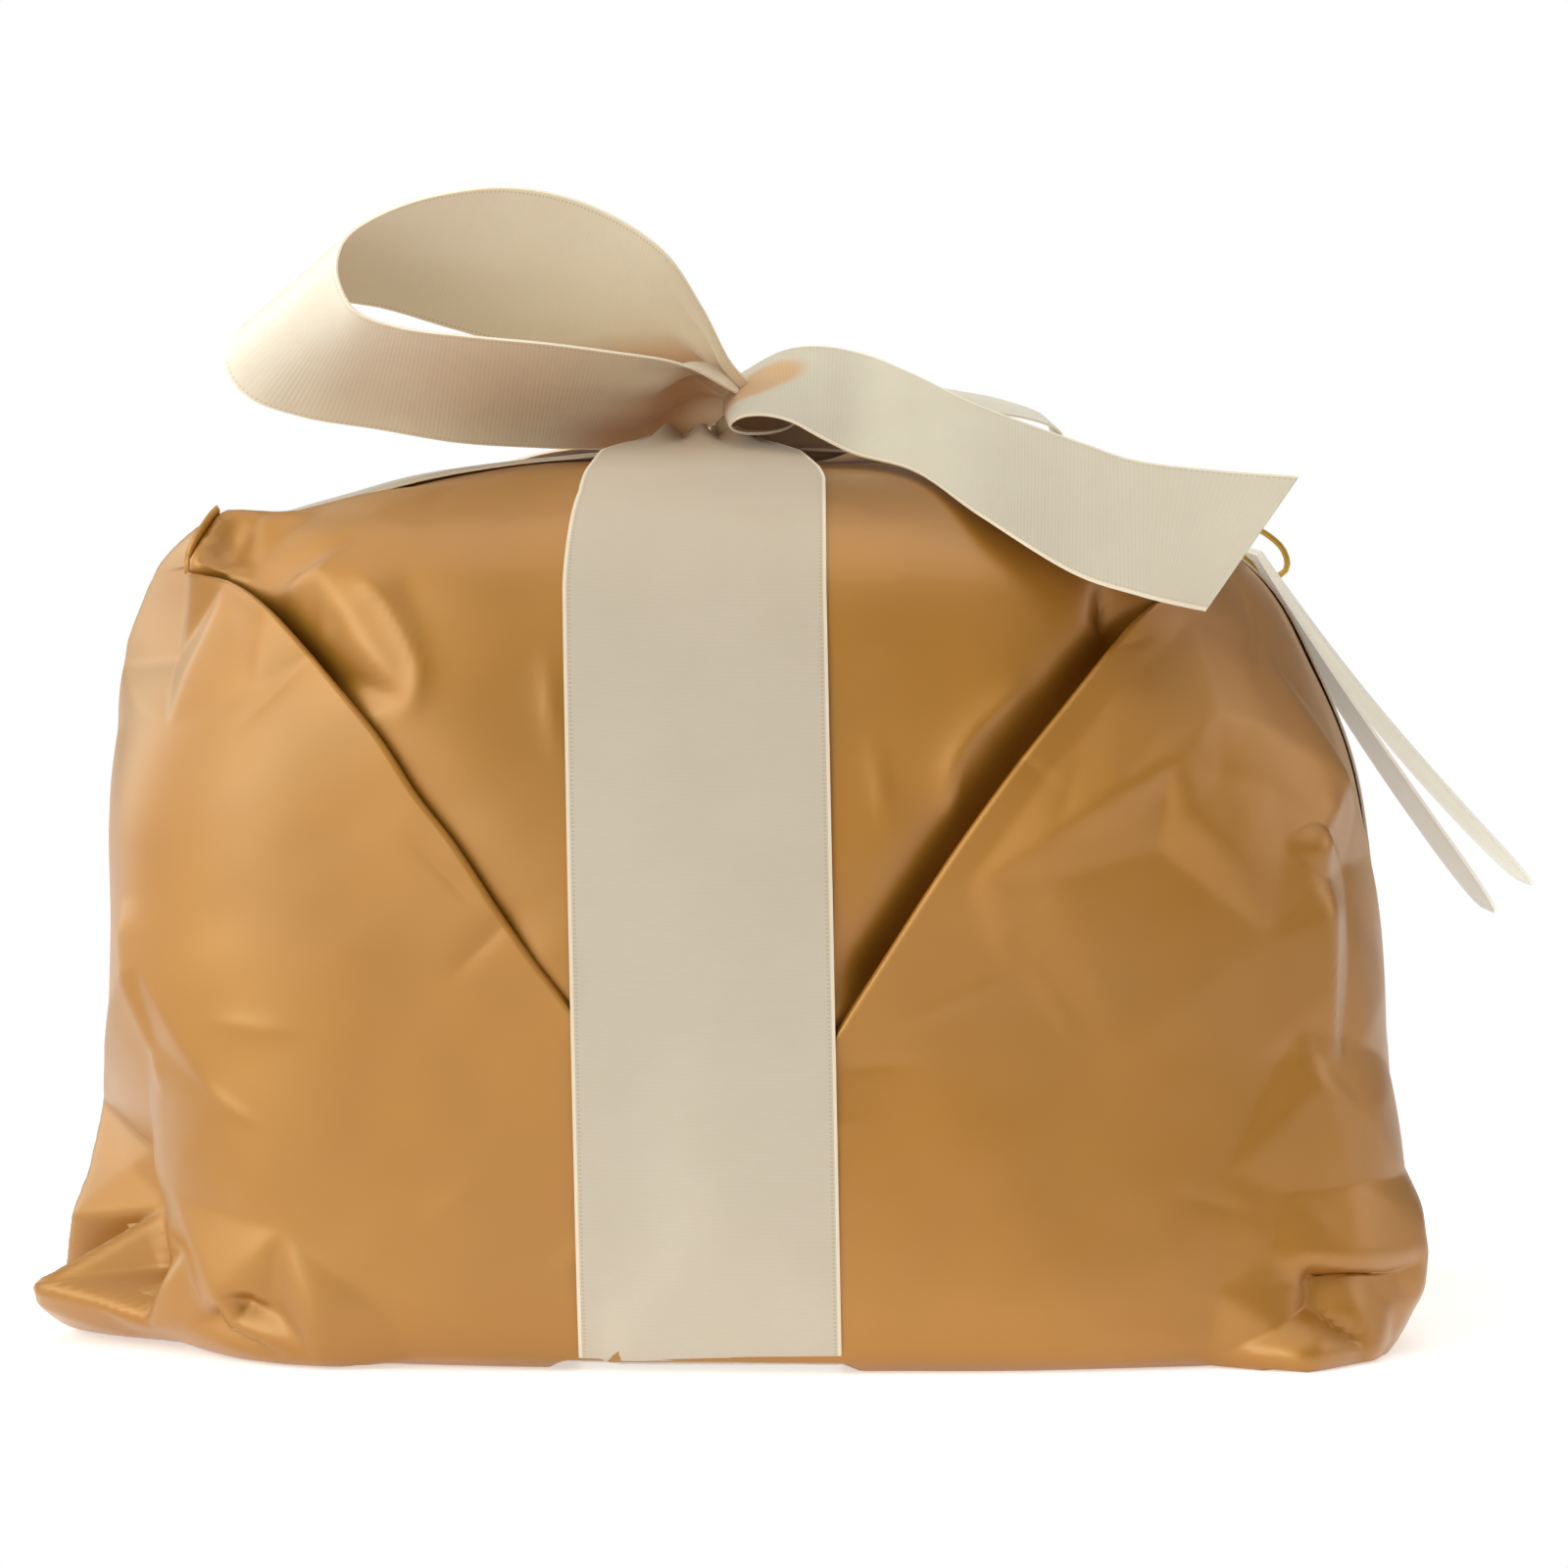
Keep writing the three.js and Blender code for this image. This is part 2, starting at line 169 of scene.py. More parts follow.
@dataclass(frozen=True)
class Crease:
    """A ridge, or a valley where its rise is negative, along a line on one side of the parcel."""

    side: Side
    line: tuple  # (first length, second length)
    rise: float
    width: float
    sharp: float = 1.0  # 1 is a folded edge, 2 is a soft wave
    fade: float = 0.25  # the share of its length over which each end dies away


@dataclass
class FilmShape:
    """The parcel's outer form as a grid.

    Rows run up from the middle of the base to the crown, columns round it.
    """

    foot_reach: float = 94.0  # how far the film runs in under the parcel
    cell: float = 0.7
    reference_height: float = 45.0  # where runs round the parcel are measured
    levels: tuple = (
        Level(0.4, 97, 101, 92, 2.7, 5.0, 3.0),
        Level(3, 98.6, 104, 94.6, 3.2, 5.0, 3.0),
        Level(10, 98.2, 106, 96.4, 3.9, 4.6, 3.2),
        Level(25, 97.4, 106, 97.2, 4.4, 4.4, 3.4),
        Level(45, 96.8, 106.2, 97.6, 4.8, 4.0, 3.4),
        Level(65, 96.6, 105.6, 97.6, 5.6, 3.8, 3.4),
        Level(86, 95.8, 101.6, 97.2, 5.6, 3.5, 3.3),
        Level(103, 92.4, 95.2, 96.2, 5.0, 3.3, 3.2),
        Level(114, 88.2, 89.8, 94.6, 4.2, 3.2, 3.0),
        Level(121.5, 84, 84, 92, 4.2, 3.2, 3.0),
        Level(127, 75.5, 76.5, 87.5, 4.0, 3.1, 2.9),
        Level(131.3, 62, 66, 81, 3.4, 3.0, 2.8),
        Level(135, 48.5, 52, 69.5, 2.8, 2.8, 2.6),
        Level(137.2, 34, 37, 54, 2.4, 2.4, 2.3),
        Level(138.1, 17, 18, 26, 2.1, 2.1, 2.1),
        Level(138.4, 0.5, 0.5, 0.5, 2.0, 2.0, 2.0),
    )

    def __post_init__(self) -> None:
        """Work out the grid of the undented form."""
        table = np.array([[getattr(lv, k) for k in Level.__dataclass_fields__] for lv in self.levels])
        run = np.concatenate([[0], np.cumsum(np.hypot(np.diff(table[:, 0]), np.diff(table[:, 3])))])
        dense = smooth_line([[r, *row] for r, row in zip(run, table)], 600)
        self.level_run, self.level_table = dense[:, 0], dense[:, 1:]
        self.top = float(run[-1])
        self.v = np.arange(-self.foot_reach + 0.5, self.top, self.cell)
        angles = np.radians(np.linspace(-270, 90, 7201))
        ring = self._ring(self._level_at(self._run_at_height(self.reference_height)), angles)
        steps = np.concatenate([[0], np.cumsum(np.hypot(*np.diff(ring, axis=0).T))])
        front = np.interp(math.radians(-90), angles, steps)
        self.round = float(steps[-1])
        self._angle_run, self._angles = steps - front, angles
        self.u = np.linspace(-self.round / 2, self.round / 2, int(self.round / self.cell), endpoint=False)
        self.base = self._form(self.u, self.v)
        self.out = self._normals(self.base)
        level = self.out * np.array([1, 1, 0])
        level = level / np.maximum(np.linalg.norm(level, axis=-1, keepdims=True), 1e-9)
        foot = int(np.argmin(np.abs(self.v - 4)))
        self.out[:foot] = level[foot] * np.clip(1 + self.v[:foot] / self.foot_reach, 0, 1)[:, None, None]

    def _run_at_height(self, height: float) -> float:
        """The distance up from the foot at which the wall has this height."""
        return float(np.interp(height, self.level_table[:, 0], self.level_run))

    def _level_at(self, v: np.ndarray) -> np.ndarray:
        """The section's numbers at a distance up from the foot, below which it shrinks to the middle.

        Args:
            v: distances up from the foot.

        Returns:
            The numbers, in the order of Level's fields.
        """
        rows = [np.interp(v, self.level_run, self.level_table[:, k]) for k in range(7)]
        level = np.array(rows).T
        inward = np.clip(1 + np.minimum(v, 0) / self.foot_reach, 0.004, 1)
        level[..., 1:4] *= inward[..., None] if np.ndim(v) else inward
        return level

    @staticmethod
    def _ring(level: np.ndarray, angles: np.ndarray) -> np.ndarray:
        """The level section's outline, a squared ellipse with its own squareness at each corner.

        Args:
            level: the section's numbers, along the last axis.
            angles: angles round the parcel, in radians.

        Returns:
            Places (x, y).
        """
        c, s = np.cos(angles), np.sin(angles)
        across = np.where(c < 0, level[..., 1], level[..., 2])
        front = np.where(c < 0, level[..., 4], level[..., 5])
        power = np.where(s < 0, front, level[..., 6])
        reach = (np.abs(c / across) ** power + np.abs(s / level[..., 3]) ** power) ** (-1 / power)
        return np.stack([reach * c, reach * s], axis=-1)

    def _form(self, u: np.ndarray, v: np.ndarray) -> np.ndarray:
        """Places of the undented form, rows by v and columns by u.

        Args:
            u: runs round the parcel.
            v: runs up from the foot.

        Returns:
            The places.
        """
        start = self._angle_run[0]
        angles = np.interp((u - start) % self.round + start, self._angle_run, self._angles)
        level = self._level_at(v)
        flat = self._ring(level[:, None, :], angles[None, :])
        heights = np.broadcast_to(level[:, 0][:, None, None], (len(v), len(u), 1))
        return np.concatenate([flat, heights], axis=-1)

    @staticmethod
    def _normals(places: np.ndarray) -> np.ndarray:
        """The outward direction at each place of a grid that closes round.

        Args:
            places: the grid.

        Returns:
            The directions, each of length 1.
        """
        along = np.roll(places, -1, axis=1) - np.roll(places, 1, axis=1)
        up = np.gradient(places, axis=0)
        normal = np.cross(along, up)
        return normal / np.maximum(np.linalg.norm(normal, axis=-1, keepdims=True), 1e-9)

    def around(self, u: np.ndarray, middle: float) -> np.ndarray:
        """Runs round the parcel, counted from the side where middle is."""
        return (u - middle + self.round / 2) % self.round - self.round / 2 + middle

    def waves(self, rng: np.random.Generator, length: float, size: float, count: int = 14) -> np.ndarray:
        """Gentle irregular waves in the film.

        Args:
            rng: the seeded source of chance.
            length: about how far apart the waves are.
            size: about how far they rise.
            count: how many plane waves are added up.

        Returns:
            The field of rise.
        """
        x, y, z = (self.base[..., k] for k in range(3))
        total = np.zeros(x.shape)
        for _ in range(count):
            way = rng.normal(size=3)
            way *= 2 * math.pi / (length * rng.uniform(0.7, 1.5) * np.linalg.norm(way))
            total += np.sin(x * way[0] + y * way[1] + z * way[2] + rng.uniform(0, 2 * math.pi))
        return total * size / math.sqrt(count / 2)


class FilmLayer:
    """One layer of the folded film: the parcel's form, creased, on which places can be looked up."""

    def __init__(self, shape: FilmShape, *features: object) -> None:
        """Start from the form and work features into it, in order.

        Args:
            shape: the parcel's form.
            features: nets, creases, and fields of rise.
        """
        self.shape = shape
        self.places = shape.base.copy()
        for feature in features:
            self.work(feature)
        self.out = shape._normals(self.places)

    @staticmethod
    def crinkles(rng: np.random.Generator, count: int) -> list:
        """Small sharp creases scattered over the front and the back.

        Args:
            rng: the seeded source of chance.
            count: how many.

        Returns:
            The creases.
        """
        creases = []
        for k in range(count):
            x, z, way = rng.uniform(-88, 92), rng.uniform(14, 116), rng.uniform(0, math.pi)
            reach, rise = rng.uniform(4, 11), rng.uniform(0.18, 0.45) * rng.choice((-1, 1))
            dx, dz = reach * math.cos(way), reach * math.sin(way)
            ends = ((x - dx, z - dz), (x + dx, z + dz))
            creases.append(Crease((FRONT, BACK)[k % 2], ends, rise, rng.uniform(0.7, 1.6), 1.1, 0.45))
        return creases

    def work(self, feature: object) -> None:
        """Work one feature into the layer.

        Args:
            feature: a net, a crease, or a field of rise.
        """
        if isinstance(feature, Net):
            self.places = self.places + self._net(feature)
        elif isinstance(feature, Crease):
            self.places = self.places + self.shape.out * self._crease(feature)[..., None]
        else:
            self.places = self.places + self.shape.out * feature[..., None]

    def locate(self, side: Side, a: float, b: float) -> tuple:
        """Find a place on the layer.

        Args:
            side: which side it is on.
            a: x on the front or back, y on the left or right.
            b: z.

        Returns:
            Its run round the parcel and its run up from the foot.
        """
        x, y, z = (self.places[..., k] for k in range(3))
        first = x if side in (FRONT, BACK) else y
        faces = {FRONT: y < -20, BACK: y > 20, LEFT: x < -20, RIGHT: x > 20}[side]
        low = self.shape.v[:, None] > -1
        return self._nearest((first - a) ** 2 + (z - b) ** 2 + np.where(faces & low, 0, FAR))

    def _nearest(self, away: np.ndarray) -> tuple:
        """The runs (u, v) where a field is least."""
        row, column = np.unravel_index(np.argmin(away), away.shape)
        return float(self.shape.u[column]), float(self.shape.v[row])

    def _value(self, grid: np.ndarray, u: float, v: float) -> np.ndarray:
        """A grid's value at the nearest cell."""
        column = round((u - self.shape.u[0]) / (self.shape.u[1] - self.shape.u[0])) % grid.shape[1]
        return grid[round((v - self.shape.v[0]) / self.shape.cell), column]

    def _net(self, net: Net) -> np.ndarray:
        """How far each place moves for a net of creased facets.

        Args:
            net: the net.

        Returns:
            The moves, as a grid.
        """
        spots = [(*self.locate(*held), np.zeros(3)) for held in net.held]
        for place in net.pulled:
            away = ((self.places - np.array(place)) ** 2).sum(axis=-1)
            u, v = self._nearest(away + np.where(self.shape.v < 0, FAR, 0)[:, None])
            spots.append((u, v, np.array(place) - self._value(self.places, u, v)))
        for side, a, b, rise in net.raised:
            u, v = self.locate(side, a, b)
            spots.append((u, v, self._value(self.shape.out, u, v) * rise))
        flat = [Vector((float(self.shape.around(np.array(u), spots[0][0])), v)) for u, v, _ in spots]
        places, _, faces, origins, _, _ = delaunay_2d_cdt(flat, [], [], 0, 0.01)
        moves = np.array([spots[origin[0]][2] if origin else np.zeros(3) for origin in origins])
        patch = np.zeros(self.places.shape)
        u = self.shape.around(self.shape.u, spots[0][0])
        for face in faces:
            p = np.array([places[i] for i in face])
            columns = np.where((u >= p[:, 0].min() - 1) & (u <= p[:, 0].max() + 1))[0]
            rows = np.where((self.shape.v >= p[:, 1].min() - 1) & (self.shape.v <= p[:, 1].max() + 1))[0]
            (x0, y0), (x1, y1), (x2, y2) = p
            area = (x1 - x0) * (y2 - y0) - (x2 - x0) * (y1 - y0)
            if abs(area) < 1e-6 or not len(rows) or not len(columns):
                continue
            gx, gy = np.meshgrid(u[columns], self.shape.v[rows])
            w1 = ((gx - x0) * (y2 - y0) - (x2 - x0) * (gy - y0)) / area
            w2 = ((x1 - x0) * (gy - y0) - (gx - x0) * (y1 - y0)) / area
            inside = (w1 >= -1e-6) & (w2 >= -1e-6) & (w1 + w2 <= 1 + 1e-6)
            m0, m1, m2 = (moves[i] for i in face)
            value = m0 + w1[..., None] * (m1 - m0) + w2[..., None] * (m2 - m0)
            where = np.ix_(rows, columns)
            patch[where] = np.where(inside[..., None], value, patch[where])
        below = self.shape.v < 0
        foot = int(np.argmin(np.abs(self.shape.v)))
        inward = (1 + self.shape.v[below] / self.shape.foot_reach)[:, None, None]
        patch[below] = patch[foot] * np.array([1, 1, 0]) * inward
        return np.stack([soften(patch[..., k], net.blur / self.shape.cell) for k in range(3)], axis=-1)

    def line(self, side: Side, points: tuple) -> np.ndarray:
        """Runs (u, v) of a line given by points on one side, smoothed through them.

        Args:
            side: which side it is on.
            points: its points, as for locate.

        Returns:
            The runs, one row each.
        """
        places = np.array([self.locate(side, a, b) for a, b in points])
        places[:, 0] = self.shape.around(places[:, 0], places[0, 0])
        return evenly(places, 8) if len(places) == 2 else smooth_line(places.tolist(), 6 * len(places))

    def along(self, line: np.ndarray, reach: float = FAR) -> tuple:
        """Measure how far places on the grid are from a line.

        Args:
            line: runs (u, v) of the line's points.
            reach: how far from the line to measure.

        Returns:
            The rows and columns measured, their distances signed positive on the line's left, and the
            share of the line's length at which each is nearest.
        """
        shape = self.shape
        u = shape.around(shape.u, float(line[:, 0].mean()))
        rows = np.where((shape.v > line[:, 1].min() - reach) & (shape.v < line[:, 1].max() + reach))[0]
        columns = np.where((u > line[:, 0].min() - reach) & (u < line[:, 0].max() + reach))[0]
        gx, gy = np.meshgrid(u[columns], shape.v[rows])
        best = np.full(gx.shape, FAR)
        signed, share = best.copy(), np.zeros(gx.shape)
        lengths = np.linalg.norm(np.diff(line, axis=0), axis=1)
        starts = np.concatenate([[0], np.cumsum(lengths)])
        for k, length in enumerate(lengths):
            way = (line[k + 1] - line[k]) / max(length, 1e-9)
            dx, dy = gx - line[k][0], gy - line[k][1]
            t = np.clip(dx * way[0] + dy * way[1], 0, length)
            away = np.hypot(dx - way[0] * t, dy - way[1] * t)
            nearer = away < best
            side = np.where(way[0] * dy - way[1] * dx >= 0, 1, -1)
            best = np.where(nearer, away, best)
            signed = np.where(nearer, away * side, signed)
            share = np.where(nearer, (starts[k] + t) / starts[-1], share)
        return np.ix_(rows, columns), signed, share

    def _crease(self, crease: Crease) -> np.ndarray:
        """The field of rise of one ridge or valley.

        Args:
            crease: the ridge or valley.

        Returns:
            How far each place rises, as a grid.
        """
        line = self.line(crease.side, crease.line)
        where, away, share = self.along(line, crease.width * (5 if crease.sharp < 2 else 3))
        across = np.exp(-((np.abs(away) / crease.width) ** crease.sharp))
        ends = ease(share / crease.fade) * ease((1 - share) / crease.fade) if crease.fade else 1.0
        rise = np.zeros(self.places.shape[:2])
        rise[where] = crease.rise * across * ends
        return rise

    def at(self, u: np.ndarray, v: np.ndarray, rise: np.ndarray | float = 0.0) -> np.ndarray:
        """Places on the layer.

        Args:
            u: runs round the parcel.
            v: runs up from the foot.
            rise: how far to stand off the layer, outwards.

        Returns:
            The places, with the shape of u.
        """
        shape = self.shape
        rows, columns = self.places.shape[:2]
        c = (u - shape.u[0]) / (shape.u[1] - shape.u[0])
        r = np.clip((v - shape.v[0]) / shape.cell, 0, rows - 1.001)
        c0, r0 = np.floor(c).astype(int), np.floor(r).astype(int)
        fc, fr = (c - c0)[..., None], (r - r0)[..., None]
        c0, c1 = c0 % columns, (c0 + 1) % columns

        def mix(grid: np.ndarray) -> np.ndarray:
            """Blend the four grid values round each place.

            Args:
                grid: places or directions.

            Returns:
                The blend, one for each place.
            """
            low = grid[r0, c0] * (1 - fc) + grid[r0, c1] * fc
            high = grid[r0 + 1, c0] * (1 - fc) + grid[r0 + 1, c1] * fc
            return low * (1 - fr) + high * fr

        return mix(self.places) + mix(self.out) * np.asarray(rise)[..., None]


# ---------------------------------------------------------------- meshes


def deselect() -> None:
    """Leave nothing selected and nothing in edit mode."""
    if bpy.context.object and bpy.context.object.mode != "OBJECT":
        bpy.ops.object.mode_set(mode="OBJECT")
    bpy.ops.object.select_all(action="DESELECT")


def pick(obj: bpy.types.Object) -> None:
    """Make one object the only selected and the active one.

    Args:
        obj: the object.
    """
    deselect()
    obj.select_set(True)
    bpy.context.view_layer.objects.active = obj


def sheet_mesh(name: str, places: np.ndarray, closed: bool = False) -> bpy.types.Object:
    """Lay a grid of quads over rows and columns of places.

    Args:
        name: the piece's name.
        places: millimetres, rows by columns by three.
        closed: whether the last column joins the first.

    Returns:
        The new object, with a UV map that runs 0 to 1 each way.
    """
    if closed:
        places = np.concatenate([places, places[:, :1]], axis=1)
    rows, columns = places.shape[:2]
    deselect()
    bpy.ops.mesh.primitive_grid_add(x_subdivisions=columns - 1, y_subdivisions=rows - 1, size=1)
    obj = bpy.context.object
    obj.name = name
    obj.data.name = name
    obj.data.vertices.foreach_set("co", (places.reshape(-1, 3) * MM).astype(np.float32).ravel())
    if closed:
        bpy.ops.object.mode_set(mode="EDIT")
        bpy.ops.mesh.select_all(action="SELECT")
        bpy.ops.mesh.remove_doubles(threshold=2e-6)
        bpy.ops.object.mode_set(mode="OBJECT")
    obj.data.update()
    bpy.ops.object.shade_smooth()
    return obj


def ribbon_map(obj: bpy.types.Object, length: float, along_rows: bool) -> None:
    """Set a ribbon's UV map to run 0 to 1 across it, and along it in ribbon widths.

    Args:
        obj: the ribbon, as sheet_mesh leaves it.
        length: its length in millimetres.
        along_rows: whether its rows follow one another along it, not across it.
    """
    layer = obj.data.uv_layers.active
    uv = np.empty(len(obj.data.loops) * 2, np.float32)
    layer.uv.foreach_get("vector", uv)
    uv = uv.reshape(-1, 2)
    across, along = (uv[:, 0], uv[:, 1]) if along_rows else (uv[:, 1], uv[:, 0])
    laid = np.column_stack([across, along * length / Ribbon.width])
    layer.uv.foreach_set("vector", laid.astype(np.float32).ravel())


def finish_with(obj: bpy.types.Object, kind: str, **values: object) -> None:
    """Add a modifier with its values and apply it.

    Args:
        obj: the piece.
        kind: the modifier's type.
        values: its settings.
    """
    pick(obj)
    modifier = obj.modifiers.new(kind.title(), kind)
    for key, value in values.items():
        setattr(modifier, key, value)
    bpy.ops.object.modifier_apply(modifier=modifier.name)
    bpy.ops.object.shade_smooth_by_angle(angle=math.radians(50))


def dress(obj: bpy.types.Object, material: bpy.types.Material, slot: str, *nodes: str) -> None:
    """Give a piece its finish, hide the nodes that it stands for, and give it its body.

    Args:
        obj: the piece.
        material: its finish.
        slot: its material slot in the record.
        nodes: the nodes that it stands for.
    """
    obj.data.materials.clear()
    obj.data.materials.append(material)
    if nodes:
        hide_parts(*nodes)
    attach(obj, "root")


def bvh_of(objects: list) -> BVHTree:
    """A search tree of the faces of several objects, in millimetres.

    Args:
        objects: the pieces.

    Returns:
        The tree.
    """
    places, faces = [], []
    for obj in objects:
        start = len(places)
        co = np.empty(len(obj.data.vertices) * 3, np.float32)
        obj.data.vertices.foreach_get("co", co)
        places.extend(Vector(p) for p in (co.reshape(-1, 3) / MM).astype(float))
        faces.extend([start + i for i in face.vertices] for face in obj.data.polygons)
    return BVHTree.FromPolygons(places, faces)


# ---------------------------------------------------------------- the film's folds

CORNER_NETS = (  # crumpled corners, shared by every layer
    Net(
        held=(
            (FRONT, -40, 133.5), (FRONT, -52, 133.2), (LEFT, -34, 131), (LEFT, -18, 124),
            (LEFT, -22, 108), (LEFT, -44, 96), (FRONT, -84, 98), (FRONT, -70, 104), (FRONT, -58, 111),
            (FRONT, -48, 118), (FRONT, -44, 126),
        ),
        pulled=(
            (-77.1, -71, 131.5), (-80.4, -68, 129.2), (-87.4, -59, 121.7), (-88.6, -57, 118.6),
            (-91.6, -52, 110), (-92.2, -50, 106), (-68.3, -73, 131), (-60, -72, 130.6),
            (-71, -50, 129.4), (-62, -44, 130.4), (-66, -62, 130), (-54.3, -82, 128.6),
            (-81.1, -77, 121.8), (-75.1, -81, 120.4), (-68.7, -88.5, 116.5), (-83, -72, 108),
        ),
    ),
    Net(
        held=(
            (LEFT, -16, 1), (LEFT, -12, 14), (LEFT, -16, 30), (LEFT, -30, 46), (FRONT, -88, 62),
            (FRONT, -76, 42), (FRONT, -66, 22), (FRONT, -50, 10), (FRONT, -46, 1),
        ),
        pulled=(
            (-98.4, -42, 37), (-100.1, -48, 26.5), (-102.6, -53, 19.5), (-108.6, -62, 9.3),
            (-108, -58, 6.6), (-104, -42, 1.2), (-98.5, -67, 7.9), (-88.5, -71, 4.4), (-84, -60, 0.6),
            (-61, -91, 0.6), (-84.6, -80, 50), (-83.4, -80, 37.7), (-83.2, -80, 26.4),
            (-81.8, -80.5, 16.6), (-81.5, -80, 9.5), (-82.2, -77.5, 5), (-88, -60, 30.5),
            (-93.3, -55, 27.3), (-86.4, -62, 22), (-85.4, -63, 12), (-94, -54, 14),
            (-76.9, -88.3, 11.3), (-71.9, -90.2, 12.5), (-70.8, -85.8, 10.6), (-74.8, -82.6, 7.6),
            (-74.2, -87.4, 5.2), (-78.6, -82.3, 8.2), (-61.9, -94.2, 8.8), (-63.9, -90.6, 5.3),
            (-67, -88.6, 8.8),
        ),
        blur=0.45,
    ),
    Net(
        held=(
            (RIGHT, -34, 1), (RIGHT, -30, 14), (RIGHT, -34, 28), (RIGHT, -50, 42), (FRONT, 88, 52),
            (FRONT, 78, 30), (FRONT, 76, 12), (FRONT, 74, 1),
        ),
        pulled=(
            (91.9, -84, 43.4), (98.3, -76.5, 38.1), (105.2, -65, 26.9), (108.5, -68, 19.7),
            (109.4, -69, 15.4), (109.2, -70, 10.7), (107.6, -71, 8.1), (104.4, -75, 2.7),
            (101.5, -84, 0.5), (91.3, -96.5, 0.5), (87, -87, 26.5), (84.9, -89.4, 17.3),
            (83.9, -90.5, 12.3), (87, -91.6, 6.1), (97, -80.5, 27), (89.7, -88.5, 16.9),
            (94, -87.2, 16.5), (98.6, -84.5, 16.1), (102.5, -80.3, 15.8), (105.6, -76, 15.5),
            (94.5, -83.2, 14.8), (99, -80, 14.4), (103.4, -75, 14), (89.8, -85, 14.8),
            (88.2, -88.4, 12.6), (90.6, -86, 8.6), (92, -93, 4.8), (98, -86, 8.2), (104, -77, 8),
        ),
        blur=0.45,
    ),
)
PANEL_NETS = (  # on the layer that the flaps lie over
    Net(
        held=(
            (FRONT, -77.1, 131.5), (FRONT, -68.3, 131.2), (FRONT, -60, 130.8), (FRONT, -54.3, 127.5),
            (FRONT, -47, 121), (FRONT, -45, 112), (FRONT, -47, 103), (FRONT, -60, 96), (FRONT, -74, 99),
            (FRONT, -85, 106), (FRONT, -88, 117), (FRONT, -84, 124.5),
        ),
        pulled=(
            (-78.6, -73.1, 127.5), (-79.8, -76.8, 123.2), (-76.5, -74.2, 123.5), (-75.6, -71, 127.2),
            (-74.3, -73, 122.6), (-70.5, -78.5, 120.6), (-67.4, -81.5, 119.3), (-60.5, -88.5, 122.4),
            (-57.8, -91.5, 117.5), (-82, -70, 117), (-75, -73, 115.5), (-69, -80, 112),
            (-62, -86, 106.5),
        ),
    ),
)
PANEL_FOLDS = (
    Crease(FRONT, ((-71, 116), (-60, 106), (-51, 95.5), (-40, 79.5), (-27, 61)), -1.0, 6, 1.6, 0.12),
    Crease(FRONT, ((68, 115), (60, 108), (48, 93.5), (37, 78.5), (20, 53)), -6.0, 5, 1.5, 0.12),
    Crease(FRONT, ((-57, 124), (-50, 118), (-45.5, 108), (-46, 101.5), (-49, 98)), 0.9, 1.7, 1.1, 0.25),
    Crease(FRONT, ((59.3, 121), (58.9, 111)), -2.6, 2.6, 1.2, 0.3),
    Crease(FRONT, ((48.5, 107), (36.4, 93.4), (36.8, 81)), 1.3, 2.4, 1.2, 0.25),
)
FLAP_NETS = (  # on the layer that the flaps are part of
    Net(
        held=(
            (FRONT, 72, 114), (FRONT, 60, 103), (FRONT, 50, 91), (FRONT, 38, 75), (FRONT, 44, 60),
            (FRONT, 62, 50), (FRONT, 82, 48), (RIGHT, -78, 46), (RIGHT, -52, 58), (RIGHT, -46, 76),
            (RIGHT, -56, 98), (FRONT, 84, 108),
        ),
        raised=(
            (FRONT, 68.2, 92.6, 2.56), (FRONT, 59.6, 87.4, 2.16), (FRONT, 49.9, 81.4, 1.35),
            (FRONT, 41.5, 76, 0.68), (FRONT, 67.6, 88.5, 0.41), (FRONT, 60, 82.5, 0.27),
            (FRONT, 50, 76, 0.14), (FRONT, 67, 80, -1.22), (FRONT, 71.5, 85.1, 1.49),
            (FRONT, 76.8, 79.2, 1.35), (FRONT, 80.5, 76.9, 0.94), (FRONT, 66.3, 97.1, 1.35),
            (FRONT, 74.5, 99.3, 2.03), (FRONT, 79.7, 97.8, 1.62), (FRONT, 76, 91, 0.54),
            (FRONT, 84, 88, 0.81), (FRONT, 94.6, 88.1, 2.97), (FRONT, 90.9, 79.9, 2.7),
            (FRONT, 90.4, 77.2, 2.43), (FRONT, 86, 80, 0.27), (FRONT, 92.1, 68.7, 2.16),
            (FRONT, 92, 57, 1.62), (FRONT, 84, 66, 0), (RIGHT, -76, 82, 0.54), (RIGHT, -68, 76, -2.16),
            (RIGHT, -70, 70, -2.16), (RIGHT, -78, 74, 0.81), (RIGHT, -60, 84, 1.08),
        ),
        blur=0.6,
    ),
)
FLAP_FOLDS = (
    Crease(FRONT, ((96, 87.2), (90.6, 77.3), (92.7, 68), (92.8, 47), (91.9, 43.4)), 0.9, 3.0, 1.1, 0.15),
    Crease(FRONT, ((-90.6, 72), (-89, 56), (-84, 40)), 1.2, 4.0, 1.1, 0.2),
)
LEFT_EDGE = (
    (-77.1, 131.4), (-79.6, 127), (-80.9, 122.3), (-74.7, 120.6), (-68.5, 116.4), (-60.5, 108.1),
    (-51.7, 97.4), (-45.2, 88.3), (-40, 81.6), (-33, 71), (-27.9, 63.8), (-23.4, 57.5), (-8, 35.8),
    (17, 0.9),
)
RIGHT_EDGE = (
    (74, 126), (72.6, 121.5), (69.8, 118.2), (65.2, 115.5), (60.2, 110.2), (48.3, 96), (37.1, 80.7),
    (21.5, 57.5), (16.6, 50), (1, 26.6), (-16.7, 0.9),
)


HEM = (  # how the film lies at a flap's folded edge: reach past the edge, and lift
    (9, -0.75), (3, -0.65), (0.6, -0.5), (-0.2, -0.25), (-0.45, 0.15), (-0.35, 0.55), (-0.1, 0.85),
)


